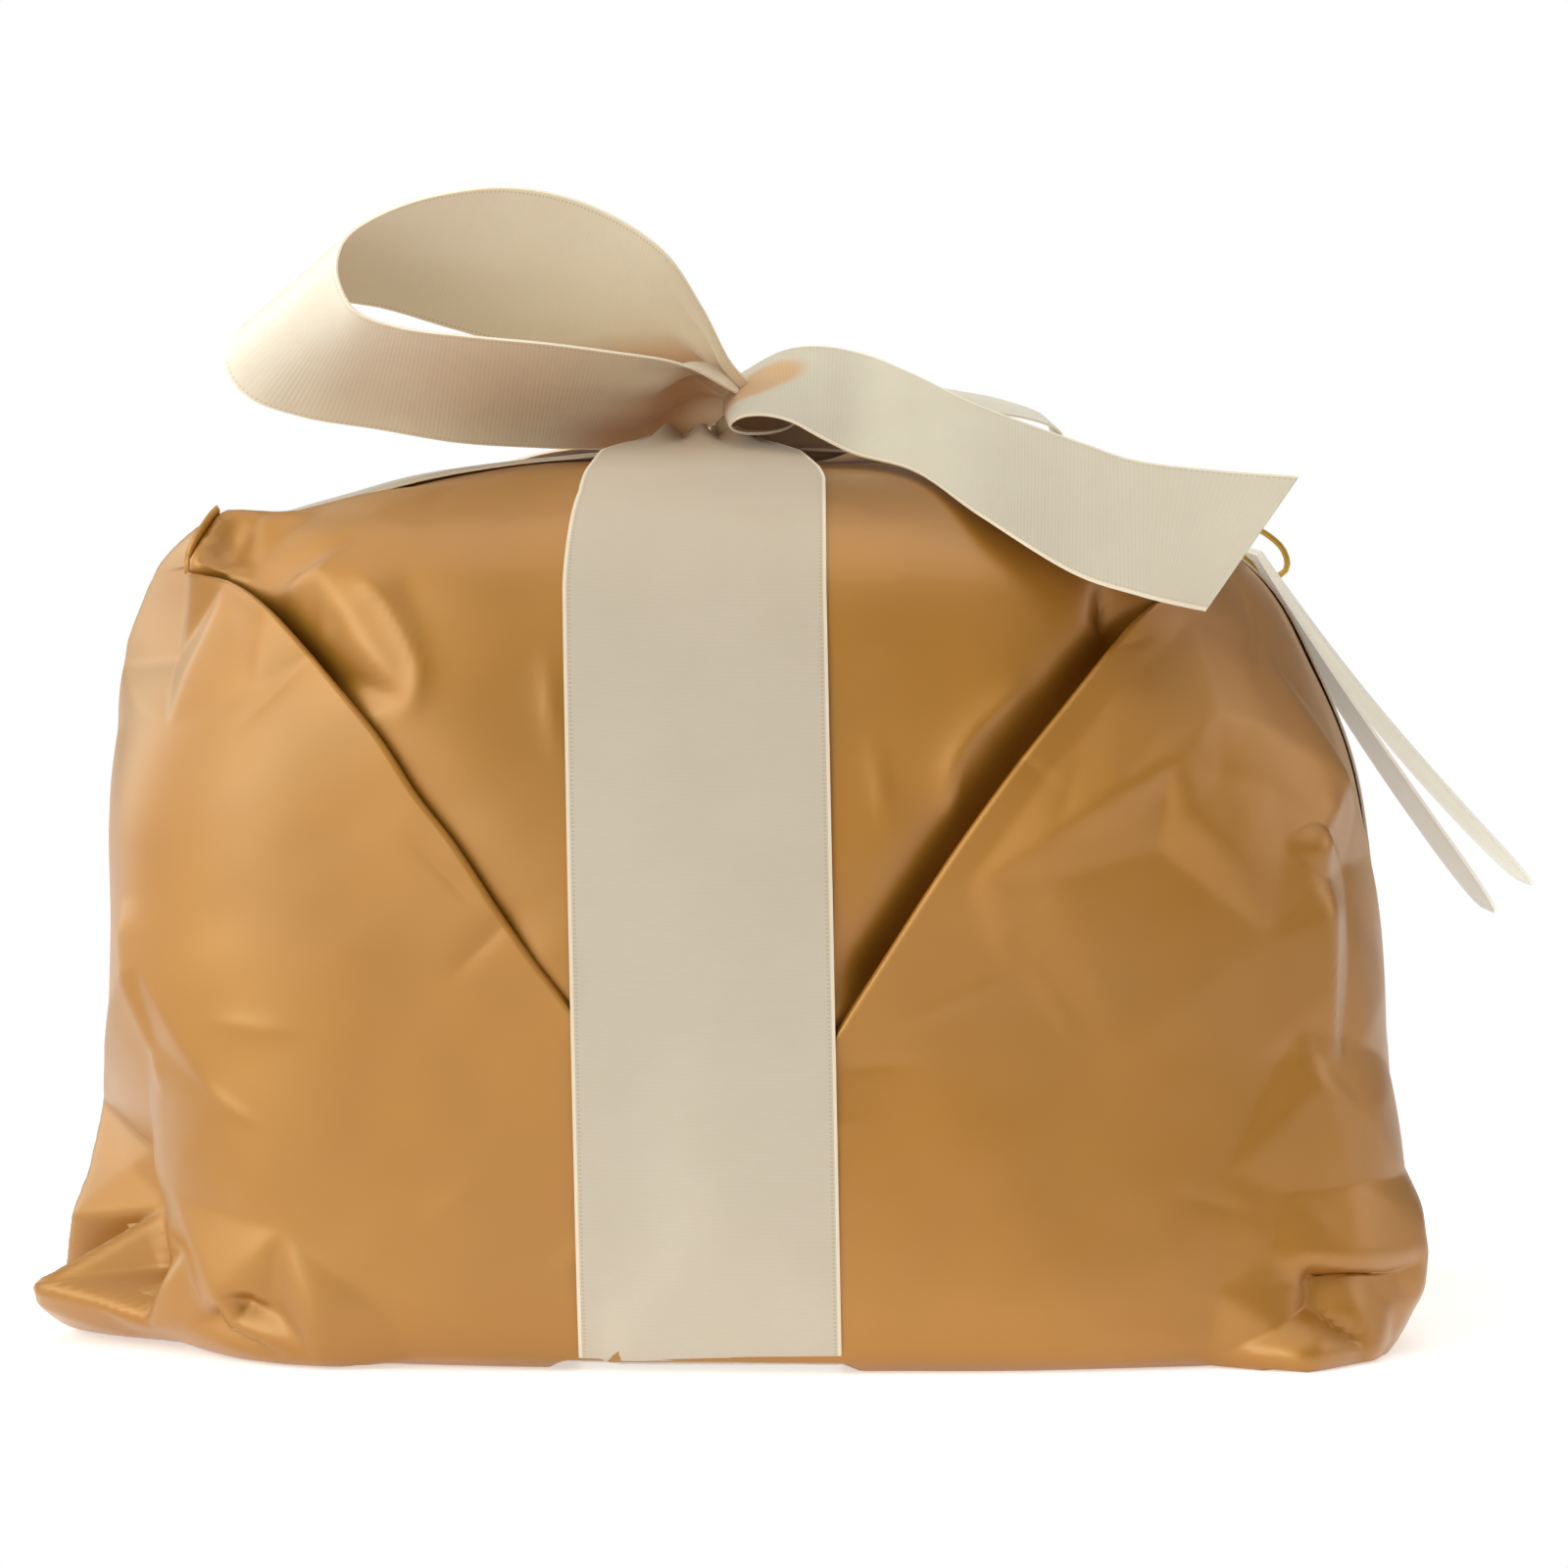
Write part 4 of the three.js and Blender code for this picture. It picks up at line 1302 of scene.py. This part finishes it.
@dataclass(frozen=True)
class Inside:
    """What the film is folded round: the loaf in its fluted cup, in a clear bag gathered at the neck."""

    centre: float = 4.0
    radius: float = 87.0
    floor: float = 6.4
    crown: float = 126.0
    wall: float = 0.8
    rim: float = 94.4
    gap: float = 0.4
    bag_floor: float = 4.1
    bag_wall: float = 0.4

    def turned(
        self, name: str, profile: list, rows: int, columns: int, stand_off: Callable
    ) -> bpy.types.Object:
        """Turn a profile about the loaf's axis.

        Args:
            name: the piece's name.
            profile: (radius, z) from one end to the other.
            rows: how many places along the profile.
            columns: how many places round.
            stand_off: gives how far each place stands off the profile, from its share along, its
                height and its angle.

        Returns:
            The piece.
        """
        line = smooth_line(profile, rows)
        way = np.gradient(line, axis=0)
        way /= np.maximum(np.linalg.norm(way, axis=1, keepdims=True), 1e-9)
        angle = np.linspace(0, 2 * math.pi, columns, endpoint=False)[None, :]
        rise = stand_off(np.linspace(0, 1, rows)[:, None], line[:, 1:2], angle)
        radius = np.maximum(line[:, :1] + way[:, 1:] * rise, 0)
        radius[0], radius[-1] = line[0, 0], line[-1, 0]
        height = line[:, 1:] - way[:, :1] * rise
        height[0], height[-1] = line[0, 1], line[-1, 1]
        x, y = radius * np.cos(angle) + self.centre, radius * np.sin(angle)
        return sheet_mesh(name, np.stack([x, y, height + 0 * angle], axis=-1), closed=True)

    def loaf(self, rng: np.random.Generator) -> bpy.types.Object:
        """The loaf: a tall cylinder with a lumpy domed crust, cut across twice before baking.

        Args:
            rng: the seeded source of chance for its lumps.

        Returns:
            The loaf.
        """
        r, top, rim = self.radius, self.crown, self.rim
        side = r - self.wall - self.gap - 0.5
        base = self.floor + 0.2
        profile = [(0, base), (side - 12, base), (side - 4, base + 0.4), (side - 0.4, base + 4)]
        profile += [(side, base + 10), (side, rim - 20), (side, rim), (r - 0.5, rim + 6)]
        profile += [(r - 2, rim + 12), (r - 9, rim + 18), (r - 22, rim + 24)]
        profile += [(r - 40, top - 5), (r - 62, top - 1.6), (0, top - 1)]
        spans = ((1, 5), (2, 9), (0, 6.3), (0, 6.3))
        lumps = [tuple(rng.uniform(*span) for span in spans) for _ in range(12)]

        def crust(share: np.ndarray, height: np.ndarray, angle: np.ndarray) -> np.ndarray:
            """Lumps on the dome, and two grooves across it.

            Args:
                share: how far along the profile.
                height: millimetres.
                angle: radians.

            Returns:
                How far each place stands off.
            """
            dome = ease((height - rim - 2) / 10)
            lump = sum(np.sin(round(n) * angle + a) * np.sin(m * 9 * share + b) for n, m, a, b in lumps) / 5
            from_cut = np.abs(np.sin(2 * (angle - 0.4))) * (1 - share) * 260
            return dome * (0.5 * lump - 0.6 - 1.6 * np.exp(-((from_cut / 5) ** 2)))

        return self.turned("loaf", profile, 150, 200, crust)

    def cup(self) -> bpy.types.Object:
        """The baking cup: fine flutes round the wall, and a flat base.

        Returns:
            The cup.
        """
        r, base, top = self.radius - self.wall / 2, self.floor - self.gap - self.wall / 2, self.rim
        profile = [(0, base), (r - 6, base), (r - 1.5, base + 0.4), (r, base + 3), (r, base + 8)]
        profile += [(r, 50), (r, top - 6), (r, top)]

        def flutes(_: np.ndarray, height: np.ndarray, angle: np.ndarray) -> np.ndarray:
            """Flutes that start above the base."""
            return 0.22 * np.cos(90 * angle) * ease((height - base - 2) / 4)

        obj = self.turned("cup", profile, 60, 720, flutes)
        finish_with(obj, "SOLIDIFY", thickness=0.3 * MM, offset=0)
        return obj

    def bag(self, rng: np.random.Generator) -> bpy.types.Object:
        """The clear bag: loose pleats that draw together at the neck and spread above the tie.

        Args:
            rng: the seeded source of chance for its pleats.

        Returns:
            The bag.
        """
        r, floor, rim, top = self.radius, self.bag_floor + 0.3, self.rim, self.crown
        profile = [(0, floor), (r - 8, floor), (r + 0.6, floor + 1), (r + 2, floor + 5), (r + 2, 50)]
        profile += [(r + 2, rim + 6), (r - 1.6, rim + 15), (r - 14.5, rim + 24), (r - 34, top - 0.2)]
        profile += [(r - 60, top + 2.2), (8, top + 3.6), (3.4, top + 5), (3.1, top + 6.2), (5.2, top + 9.8)]
        folds = [(n, rng.uniform(0, 6.3), rng.uniform(0.3, 1)) for n in (9, 14, 23, 31)]

        def pleats(_: np.ndarray, height: np.ndarray, angle: np.ndarray) -> np.ndarray:
            """Pleats over the loaf's shoulder and at the neck."""
            over = ease((height - rim - 4) / 14) * (1 - 0.8 * ease((height - top - 2) / 3))
            return 0.45 * over * sum(a * np.cos(n * angle + b) for n, b, a in folds)

        obj = self.turned("bag", profile, 120, 260, pleats)
        finish_with(obj, "SOLIDIFY", thickness=self.bag_wall * MM, offset=0)
        return obj

    def build(self) -> bpy.types.Object:
        """Make and dress the loaf, the cup, the bag and its tie, and return the bag.

        Returns:
            The bag.
        """
        loaf = self.loaf(np.random.default_rng(3))
        dress(loaf, Crust("crust").build(), "crust", "panettone_loaf")
        cup = self.cup()
        paper = Plain("baking_paper", 0xA9713B, 0x9A6431, 0.7).build()
        dress(cup, paper, "baking_paper", "baking_paper_cup")
        bag = self.bag(np.random.default_rng(5))
        clear = Plain("clear_film", 0xF6F7F8, 0xF0F2F4, 0.12, alpha=0.25).build()
        dress(bag, clear, "clear_film", "inner_bag")
        wire = Plain("gold_wire", 0xC9A24A, 0xB8913C, 0.3, 0.8).build()
        dress(bpy.data.objects["bag_tie"], wire, "gold_wire")
        return bag


# ---------------------------------------------------------------- finishes


class Wiring:
    """Adds nodes to a material's tree and joins them."""

    def __init__(self, tree: bpy.types.NodeTree) -> None:
        """Work on one tree."""
        self.tree = tree

    def node(self, kind: str, feeds: dict | None = None, **settings: object) -> bpy.types.Node:
        """Add a node.

        Args:
            kind: the node's type name.
            feeds: what goes into its sockets, by name or number: another node's socket or a plain value.
            settings: its own settings.

        Returns:
            The new node.
        """
        node = self.tree.nodes.new(kind)
        for key, value in settings.items():
            setattr(node, key, value)
        for key, value in (feeds or {}).items():
            self.feed(node.inputs[key], value)
        return node

    def feed(self, socket: bpy.types.NodeSocket, value: object) -> None:
        """Join a socket to another node's, or set its own value.

        Args:
            socket: the socket to feed.
            value: another node's socket, or a plain value.
        """
        if isinstance(value, bpy.types.NodeSocket):
            self.tree.links.new(value, socket)
        else:
            socket.default_value = value

    def feeds(self, shader: bpy.types.Node, values: dict) -> None:
        """Feed several of a shader's sockets, by name."""
        for name, value in values.items():
            self.feed(shader.inputs[name], value)

    def place(self, kind: str = "Object") -> bpy.types.NodeSocket:
        """Texture coordinates."""
        return self.node("ShaderNodeTexCoord").outputs[kind]

    def math(self, operation: str, a: object, b: object = 0.0) -> bpy.types.NodeSocket:
        """The result of a sum on one or two values."""
        return self.node("ShaderNodeMath", {0: a, 1: b}, operation=operation).outputs[0]

    def ramp(self, value: object, low: float, high: float) -> bpy.types.NodeSocket:
        """A value spread smoothly from 0 at low to 1 at high."""
        feeds = {"Value": value, "From Min": low, "From Max": high}
        return self.node("ShaderNodeMapRange", feeds, interpolation_type="SMOOTHSTEP").outputs[0]

    def mix(self, factor: object, a: object, b: object) -> bpy.types.NodeSocket:
        """A colour between two."""
        node = self.node("ShaderNodeMix", {0: factor, 6: a, 7: b}, data_type="RGBA")
        return node.outputs[2]

    def noise(
        self, place: object, scale: float, detail: float = 2.0, rough: float = 0.5
    ) -> bpy.types.NodeSocket:
        """Noise between 0 and 1."""
        feeds = {"Vector": place, "Scale": scale, "Detail": detail, "Roughness": rough}
        return self.node("ShaderNodeTexNoise", feeds).outputs[0]

    def bump(self, height: object, strength: float, distance: float) -> bpy.types.NodeSocket:
        """A normal tilted by a height."""
        feeds = {"Height": height, "Strength": strength, "Distance": distance}
        return self.node("ShaderNodeBump", feeds).outputs[0]


def rgb(hexcode: int) -> tuple:
    """A linear colour from sRGB hex digits."""
    parts = [((hexcode >> shift) & 255) / 255 for shift in (16, 8, 0)]
    return (*[c / 12.92 if c <= 0.04045 else ((c + 0.055) / 1.055) ** 2.4 for c in parts], 1.0)


@dataclass(frozen=True)
class Finish:
    """One surface finish."""

    name: str

    def build(self) -> bpy.types.Material:
        """Make the material.

        Returns:
            The material.
        """
        material = bpy.data.materials.new(self.name)
        material.use_nodes = True
        wiring = Wiring(material.node_tree)
        shader = next(n for n in material.node_tree.nodes if n.type == "BSDF_PRINCIPLED")
        self.wire(wiring, shader)
        return material

    def wire(self, wiring: Wiring, shader: bpy.types.Node) -> None:
        """Set the shader's sockets."""
        raise NotImplementedError


@dataclass(frozen=True)
class GoldFilm(Finish):
    """Satin metallised film: warm gold, with soft highlights and a faint grain."""

    deep: int = 0xA36D1A
    light: int = 0xAD741E
    metallic: float = 0.6
    roughness: float = 0.54
    coat: float = 0.9
    coat_roughness: float = 0.38
    coat_ior: float = 1.6
    uneven: tuple = (-0.03, 0.04)  # how far the roughness strays

    def wire(self, wiring: Wiring, shader: bpy.types.Node) -> None:
        """Mottle the gold very slightly, and roughen it with a fine grain.

        Args:
            wiring: adds nodes to the material's tree.
            shader: the material's shader.
        """
        place = wiring.place()
        cloud = wiring.ramp(wiring.noise(place, 24, 3), 0.3, 0.7)
        grain = wiring.noise(place, 900, 2)
        low, high = (self.roughness + stray for stray in self.uneven)
        spread = {"Value": wiring.noise(place, 60, 3), "To Min": low, "To Max": high}
        values = {
            "Base Color": wiring.mix(cloud, rgb(self.deep), rgb(self.light)),
            "Metallic": self.metallic,
            "Specular IOR Level": 0.2,
            "Coat Weight": self.coat,
            "Coat Roughness": self.coat_roughness,
            "Coat IOR": self.coat_ior,
            "Roughness": wiring.node("ShaderNodeMapRange", spread).outputs[0],
            "Normal": wiring.bump(grain, 0.06, 0.0002),
        }
        wiring.feeds(shader, values)


def weave_group() -> bpy.types.NodeTree:
    """The ribbon's weave as a group: from a place on the ribbon to its ribs, selvedge and row of stitches.

    The place runs 0 to 1 across the ribbon, and along it in ribbon widths.

    Returns:
        The group.
    """
    ribs, threads = 62, 90  # in one ribbon width, along it and across it
    group = bpy.data.node_groups.new("ribbon_weave", "ShaderNodeTree")
    group.interface.new_socket("Place", in_out="INPUT", socket_type="NodeSocketVector")
    for name in ("Rib", "Selvedge", "Stitch"):
        group.interface.new_socket(name, in_out="OUTPUT", socket_type="NodeSocketFloat")
    wiring = Wiring(group)
    place = wiring.node("NodeGroupInput").outputs["Place"]
    parts = wiring.node("ShaderNodeSeparateXYZ", {0: place})
    weft = wiring.math("SINE", wiring.math("MULTIPLY", parts.outputs["Y"], 2 * math.pi * ribs))
    warp = wiring.math("SINE", wiring.math("MULTIPLY", parts.outputs["X"], 2 * math.pi * threads))
    drawn = wiring.node("ShaderNodeVectorMath", {0: place, 1: (3, 22, 1)}, operation="MULTIPLY")
    drift = wiring.noise(drawn.outputs[0], 3, 3)
    rib = wiring.math("MULTIPLY", wiring.math("ADD", weft, wiring.math("MULTIPLY", warp, 0.35)), drift)
    away = wiring.math("ABSOLUTE", wiring.math("SUBTRACT", parts.outputs["X"], 0.5))
    selvedge = wiring.ramp(away, 0.4855, 0.4885)
    from_row = wiring.math("ABSOLUTE", wiring.math("SUBTRACT", away, 0.4765))
    row = wiring.math("SUBTRACT", 1.0, wiring.ramp(from_row, 0.003, 0.007))
    stitch = wiring.math("MULTIPLY", row, wiring.ramp(weft, -0.2, 0.6))
    wiring.node("NodeGroupOutput", {"Rib": rib, "Selvedge": selvedge, "Stitch": stitch})
    return group


@dataclass(frozen=True)
class Satin(Finish):
    """Cream ribbon: fine ribs across it, a bright selvedge, a row of fine stitches beside that, and painted
    shade and gold reflection near the knot.
    """

    colour: int = 0xC1B3A4
    shade: int = 0xB8AA99
    edge: int = 0xF0DCC4
    stitch: int = 0x9C917C
    # painted glow: how much light the satin gives off though it is no lamp
    glow: float = 0.0
    roughness: float = 0.5
    painted_shade_and_reflection: int = 0x9C7A52  # painted shade and reflection: the film's gold, painted onto the ribbon near the knot
    # how far from the knot the painted shade and reflection reach, in metres
    reach: float = 0.11
    # where the painted shade and reflection are centred, in metres
    knot: tuple = (0.008, -0.012, 0.146)
    darker: int = 0x181818  # how much darker the ribs are than the shade

    def wire(self, wiring: Wiring, shader: bpy.types.Node) -> None:
        """Lay the weave over the satin, and paint shade and gold reflection near the knot.

        Args:
            wiring: adds nodes to the material's tree.
            shader: the material's shader.
        """
        place = wiring.place()
        group = bpy.data.node_groups.get("ribbon_weave") or weave_group()
        weave = wiring.node("ShaderNodeGroup", {"Place": wiring.place("UV")}, node_tree=group).outputs
        body = wiring.mix(wiring.noise(place, 70, 3), rgb(self.shade), rgb(self.colour))
        # Painted shade and reflection: near the knot the colour is mixed towards the painted gold, standing
        # in for the bow's shade and the film's reflected gold.
        away = wiring.node("ShaderNodeVectorMath", {0: place, 1: self.knot}, operation="DISTANCE")
        near = wiring.math("MULTIPLY", wiring.ramp(away.outputs["Value"], self.reach, 0.008), 0.75)
        colour = wiring.mix(near, body, rgb(self.painted_shade_and_reflection))
        layers = (
            ("Rib", 0.12, self.shade - self.darker),
            ("Selvedge", 0.5, self.edge),
            ("Stitch", 0.55, self.stitch),
        )
        for mask, weight, other in layers:
            colour = wiring.mix(wiring.math("MULTIPLY", weave[mask], weight), colour, rgb(other))
        values = {
            "Base Color": colour,
            "Roughness": self.roughness,
            "Subsurface Weight": 0.4,
            "Subsurface Radius": (1.0, 0.82, 0.55),
            "Subsurface Scale": 0.001,
            "Sheen Weight": 0.25,
            "Sheen Roughness": 0.4,
            # Painted glow: the satin gives off its own colour, by glow everywhere and a little more near the
            # knot.
            "Emission Color": colour,
            "Emission Strength": wiring.math("ADD", self.glow, wiring.math("MULTIPLY", near, 0.08)),
            "Normal": wiring.bump(weave["Rib"], 0.25, 0.00005),
        }
        wiring.feeds(shader, values)


@dataclass(frozen=True)
class SatinPaintedLit(Satin):
    """The ribbon of the loops, which stands up into the light: the satin painted lighter, as a lit copy,
    with painted gold reflection by the knot and a faint painted glow.
    """

    colour: int = 0xE8DDCD
    shade: int = 0xDFD3C0
    edge: int = 0xF4E6D2
    stitch: int = 0xAE9F86
    # a faint painted glow on the loops
    glow: float = 0.03
    roughness: float = 0.4
    painted_shade_and_reflection: int = 0xB98239
    reach: float = 0.022
    knot: tuple = (-0.01, -0.002, 0.145)


@dataclass(frozen=True)
class SatinTailPaintedLit(Satin):
    """The ribbon of the front tail, which falls from the knot: the satin painted slightly lighter, as a lit
    copy, with painted gold reflection only close to the knot.
    """

    colour: int = 0xC4B9A8
    shade: int = 0xBDB19E
    painted_shade_and_reflection: int = 0xB98239
    reach: float = 0.011


@dataclass(frozen=True)
class Plain(Finish):
    """A finish with one colour, slightly mottled, clear where its alpha is low, and with a painted glow
    where glow is above 0.
    """

    colour: int = 0xFFFFFF
    shade: int = 0xFFFFFF
    roughness: float = 0.6
    metallic: float = 0.0
    mottle: float = 60.0
    alpha: float = 1.0
    # painted glow: light that the surface gives off though it is no lamp
    glow: float = 0.0

    def wire(self, wiring: Wiring, shader: bpy.types.Node) -> None:
        """Mottle the colour.

        Args:
            wiring: adds nodes to the material's tree.
            shader: the material's shader.
        """
        place = wiring.place()
        cloud = wiring.ramp(wiring.noise(place, self.mottle, 4), 0.3, 0.7)
        values = {
            "Base Color": wiring.mix(cloud, rgb(self.shade), rgb(self.colour)),
            # Painted glow: the surface gives off its own colour where glow is above 0.
            "Emission Color": rgb(self.colour),
            "Emission Strength": self.glow,
            "Roughness": self.roughness,
            "Metallic": self.metallic,
            "Alpha": self.alpha,
        }
        wiring.feeds(shader, values)


@dataclass(frozen=True)
class Crust(Finish):
    """Baked crust: dark and slightly glossy on the dome, paler down the sides."""

    dome: int = 0x6B3514
    side: int = 0xB9803C
    crack: int = 0xD9A55C

    def wire(self, wiring: Wiring, shader: bpy.types.Node) -> None:
        """Darken the crust with height, and mottle it.

        Args:
            wiring: adds nodes to the material's tree.
            shader: the material's shader.
        """
        place = wiring.place()
        height = wiring.node("ShaderNodeSeparateXYZ", {0: place}).outputs["Z"]
        spots = wiring.noise(place, 90, 5, 0.6)
        pale = wiring.mix(wiring.ramp(spots, 0.4, 0.65), rgb(self.side), rgb(self.crack))
        level = wiring.math("ADD", height, wiring.math("MULTIPLY", spots, 0.02))
        values = {
            "Base Color": wiring.mix(wiring.ramp(level, 0.1, 0.128), pale, rgb(self.dome)),
            "Roughness": 0.55,
            "Normal": wiring.bump(wiring.noise(place, 260, 6, 0.65), 0.5, 0.0008),
        }
        wiring.feeds(shader, values)


@dataclass(frozen=True)
class FloorPaint(Finish):
    """Matt white that glows plain white away from the middle, so that no edge or horizon shows."""

    def wire(self, wiring: Wiring, shader: bpy.types.Node) -> None:
        """Fade from paint to glow with the distance from the middle.

        Args:
            wiring: adds nodes to the material's tree.
            shader: the material's shader.
        """
        place = wiring.place()
        away = wiring.node("ShaderNodeVectorMath", {0: place}, operation="LENGTH").outputs["Value"]
        glow = wiring.ramp(away, 0.12, 0.27)
        values = {
            "Base Color": wiring.mix(glow, (0.85, 0.85, 0.85, 1), (0, 0, 0, 1)),
            "Emission Color": wiring.mix(glow, (0.5, 0.5, 0.5, 1), (1, 1, 1, 1)),
            "Emission Strength": 1.0,
            "Roughness": 0.9,
            "Specular IOR Level": 0.0,
        }
        wiring.feeds(shader, values)


# ---------------------------------------------------------------- camera, light and floor


@dataclass(frozen=True)
class Light:
    """One softbox."""

    name: str
    place: tuple  # metres
    aim: tuple  # the place that it faces, metres
    size: float  # the length of its side, metres
    power: float  # watts
    colour: tuple = (1, 1, 1)

    def hang(self) -> None:
        """Put the light up."""
        bpy.ops.object.light_add(type="AREA", location=self.place)
        light = bpy.context.object
        light.name = self.name
        light.data.size = self.size
        light.data.energy = self.power
        way = Vector(self.aim) - Vector(self.place)
        light.rotation_euler = way.to_track_quat("-Z", "Y").to_euler()
        light.data.color = self.colour
        light.visible_camera = False


@dataclass(frozen=True)
class Studio:
    """The camera, the soft lights, the white surroundings and the floor."""

    stand: tuple = (10.4, -1196.5, 147.6)  # where the camera is
    pitch: float = 3.0  # degrees below level
    lens: float = 167.2
    sensor: float = 36.0
    lights: tuple = (
        Light("key", (-1.85, -0.95, 0.8), (0, 0, 0.08), 2.0, 9, (0.95, 1.0, 0.96)),
        Light("side", (-1.7, 0.4, 0.7), (0, 0, 0.1), 1.0, 3),
        Light("fill", (1.7, 0.1, 0.7), (0, 0, 0.08), 0.9, 4.2, (1.0, 0.9, 0.75)),
        Light("top", (0, -0.3, 1.7), (0, 0, 0.1), 1.8, 8),
    )

    def camera(self) -> None:
        """Place the camera."""
        bpy.ops.object.camera_add(location=[c * MM for c in self.stand])
        camera = bpy.context.object
        camera.name = "camera"
        camera.rotation_euler = (math.radians(90 - self.pitch), 0, 0)
        camera.data.lens = self.lens
        camera.data.sensor_width = self.sensor
        camera.data.clip_start = 0.01
        bpy.context.scene.camera = camera

    def floor(self) -> None:
        """Lay the floor, which turns plain white away from the parcel."""
        bpy.ops.mesh.primitive_plane_add(size=24, location=(0, 0, 0))
        floor = bpy.context.object
        floor.name = "floor"
        floor.data.materials.append(FloorPaint("floor_paint").build())

    def world(self) -> None:
        """Make the surroundings white, and soft grey where they are mirrored."""
        world = bpy.data.worlds.new("studio")
        bpy.context.scene.world = world
        world.use_nodes = True
        wiring = Wiring(world.node_tree)
        seen = wiring.node("ShaderNodeLightPath").outputs["Is Camera Ray"]
        back = next(n for n in world.node_tree.nodes if n.type == "BACKGROUND")
        way = wiring.node("ShaderNodeSeparateXYZ", {0: wiring.place("Generated")}).outputs
        sky = (1.0, 1.02, 1.0, 1)
        for axis, low, high, colour in (
            ("X", -1.0, -0.5, (4.9, 5.3, 4.7, 1)),
            ("X", -0.6, 0.0, (0.07, 0.055, 0.04, 1)),
            ("X", 0.4, 0.85, (0.34, 0.32, 0.28, 1)),
            ("Z", 0.2, 0.8, (0.75, 0.75, 0.7, 1)),
            ("Y", 0.45, 0.95, (0.12, 0.12, 0.12, 1)),
        ):
            sky = wiring.mix(wiring.ramp(way[axis], low, high), sky, colour)
        wiring.feed(back.inputs["Color"], wiring.mix(seen, sky, (1, 1, 1, 1)))

    def build(self) -> None:
        """Set up all of it."""
        self.world()
        self.floor()
        for light in self.lights:
            light.hang()
        bpy.context.scene.view_settings.view_transform = "Standard"


# ---------------------------------------------------------------- the whole


def main() -> None:
    """Build the scene."""
    studio = Studio()
    studio.camera()
    Thread().build()
    LOG.info("the thread is in place")
    bag = Inside().build()
    LOG.info("the loaf, its cup and its bag are in place")
    film = GoldWrap(np.random.default_rng(20)).build(bag)
    LOG.info("the film is in place")
    ribbon = Ribbon()
    satin = Satin("satin_ribbon").build()
    ribbon.tie(film, satin)
    LOG.info("the bands are in place")
    ribbon.tie_bow(satin)
    LOG.info("the bow is in place")
    Tag().build()
    LOG.info("the tag is in place")
    studio.build()
    LOG.info("the studio is in place")


if __name__ == "__main__":
    logging.basicConfig(level=logging.INFO, format="%(message)s")
    main()
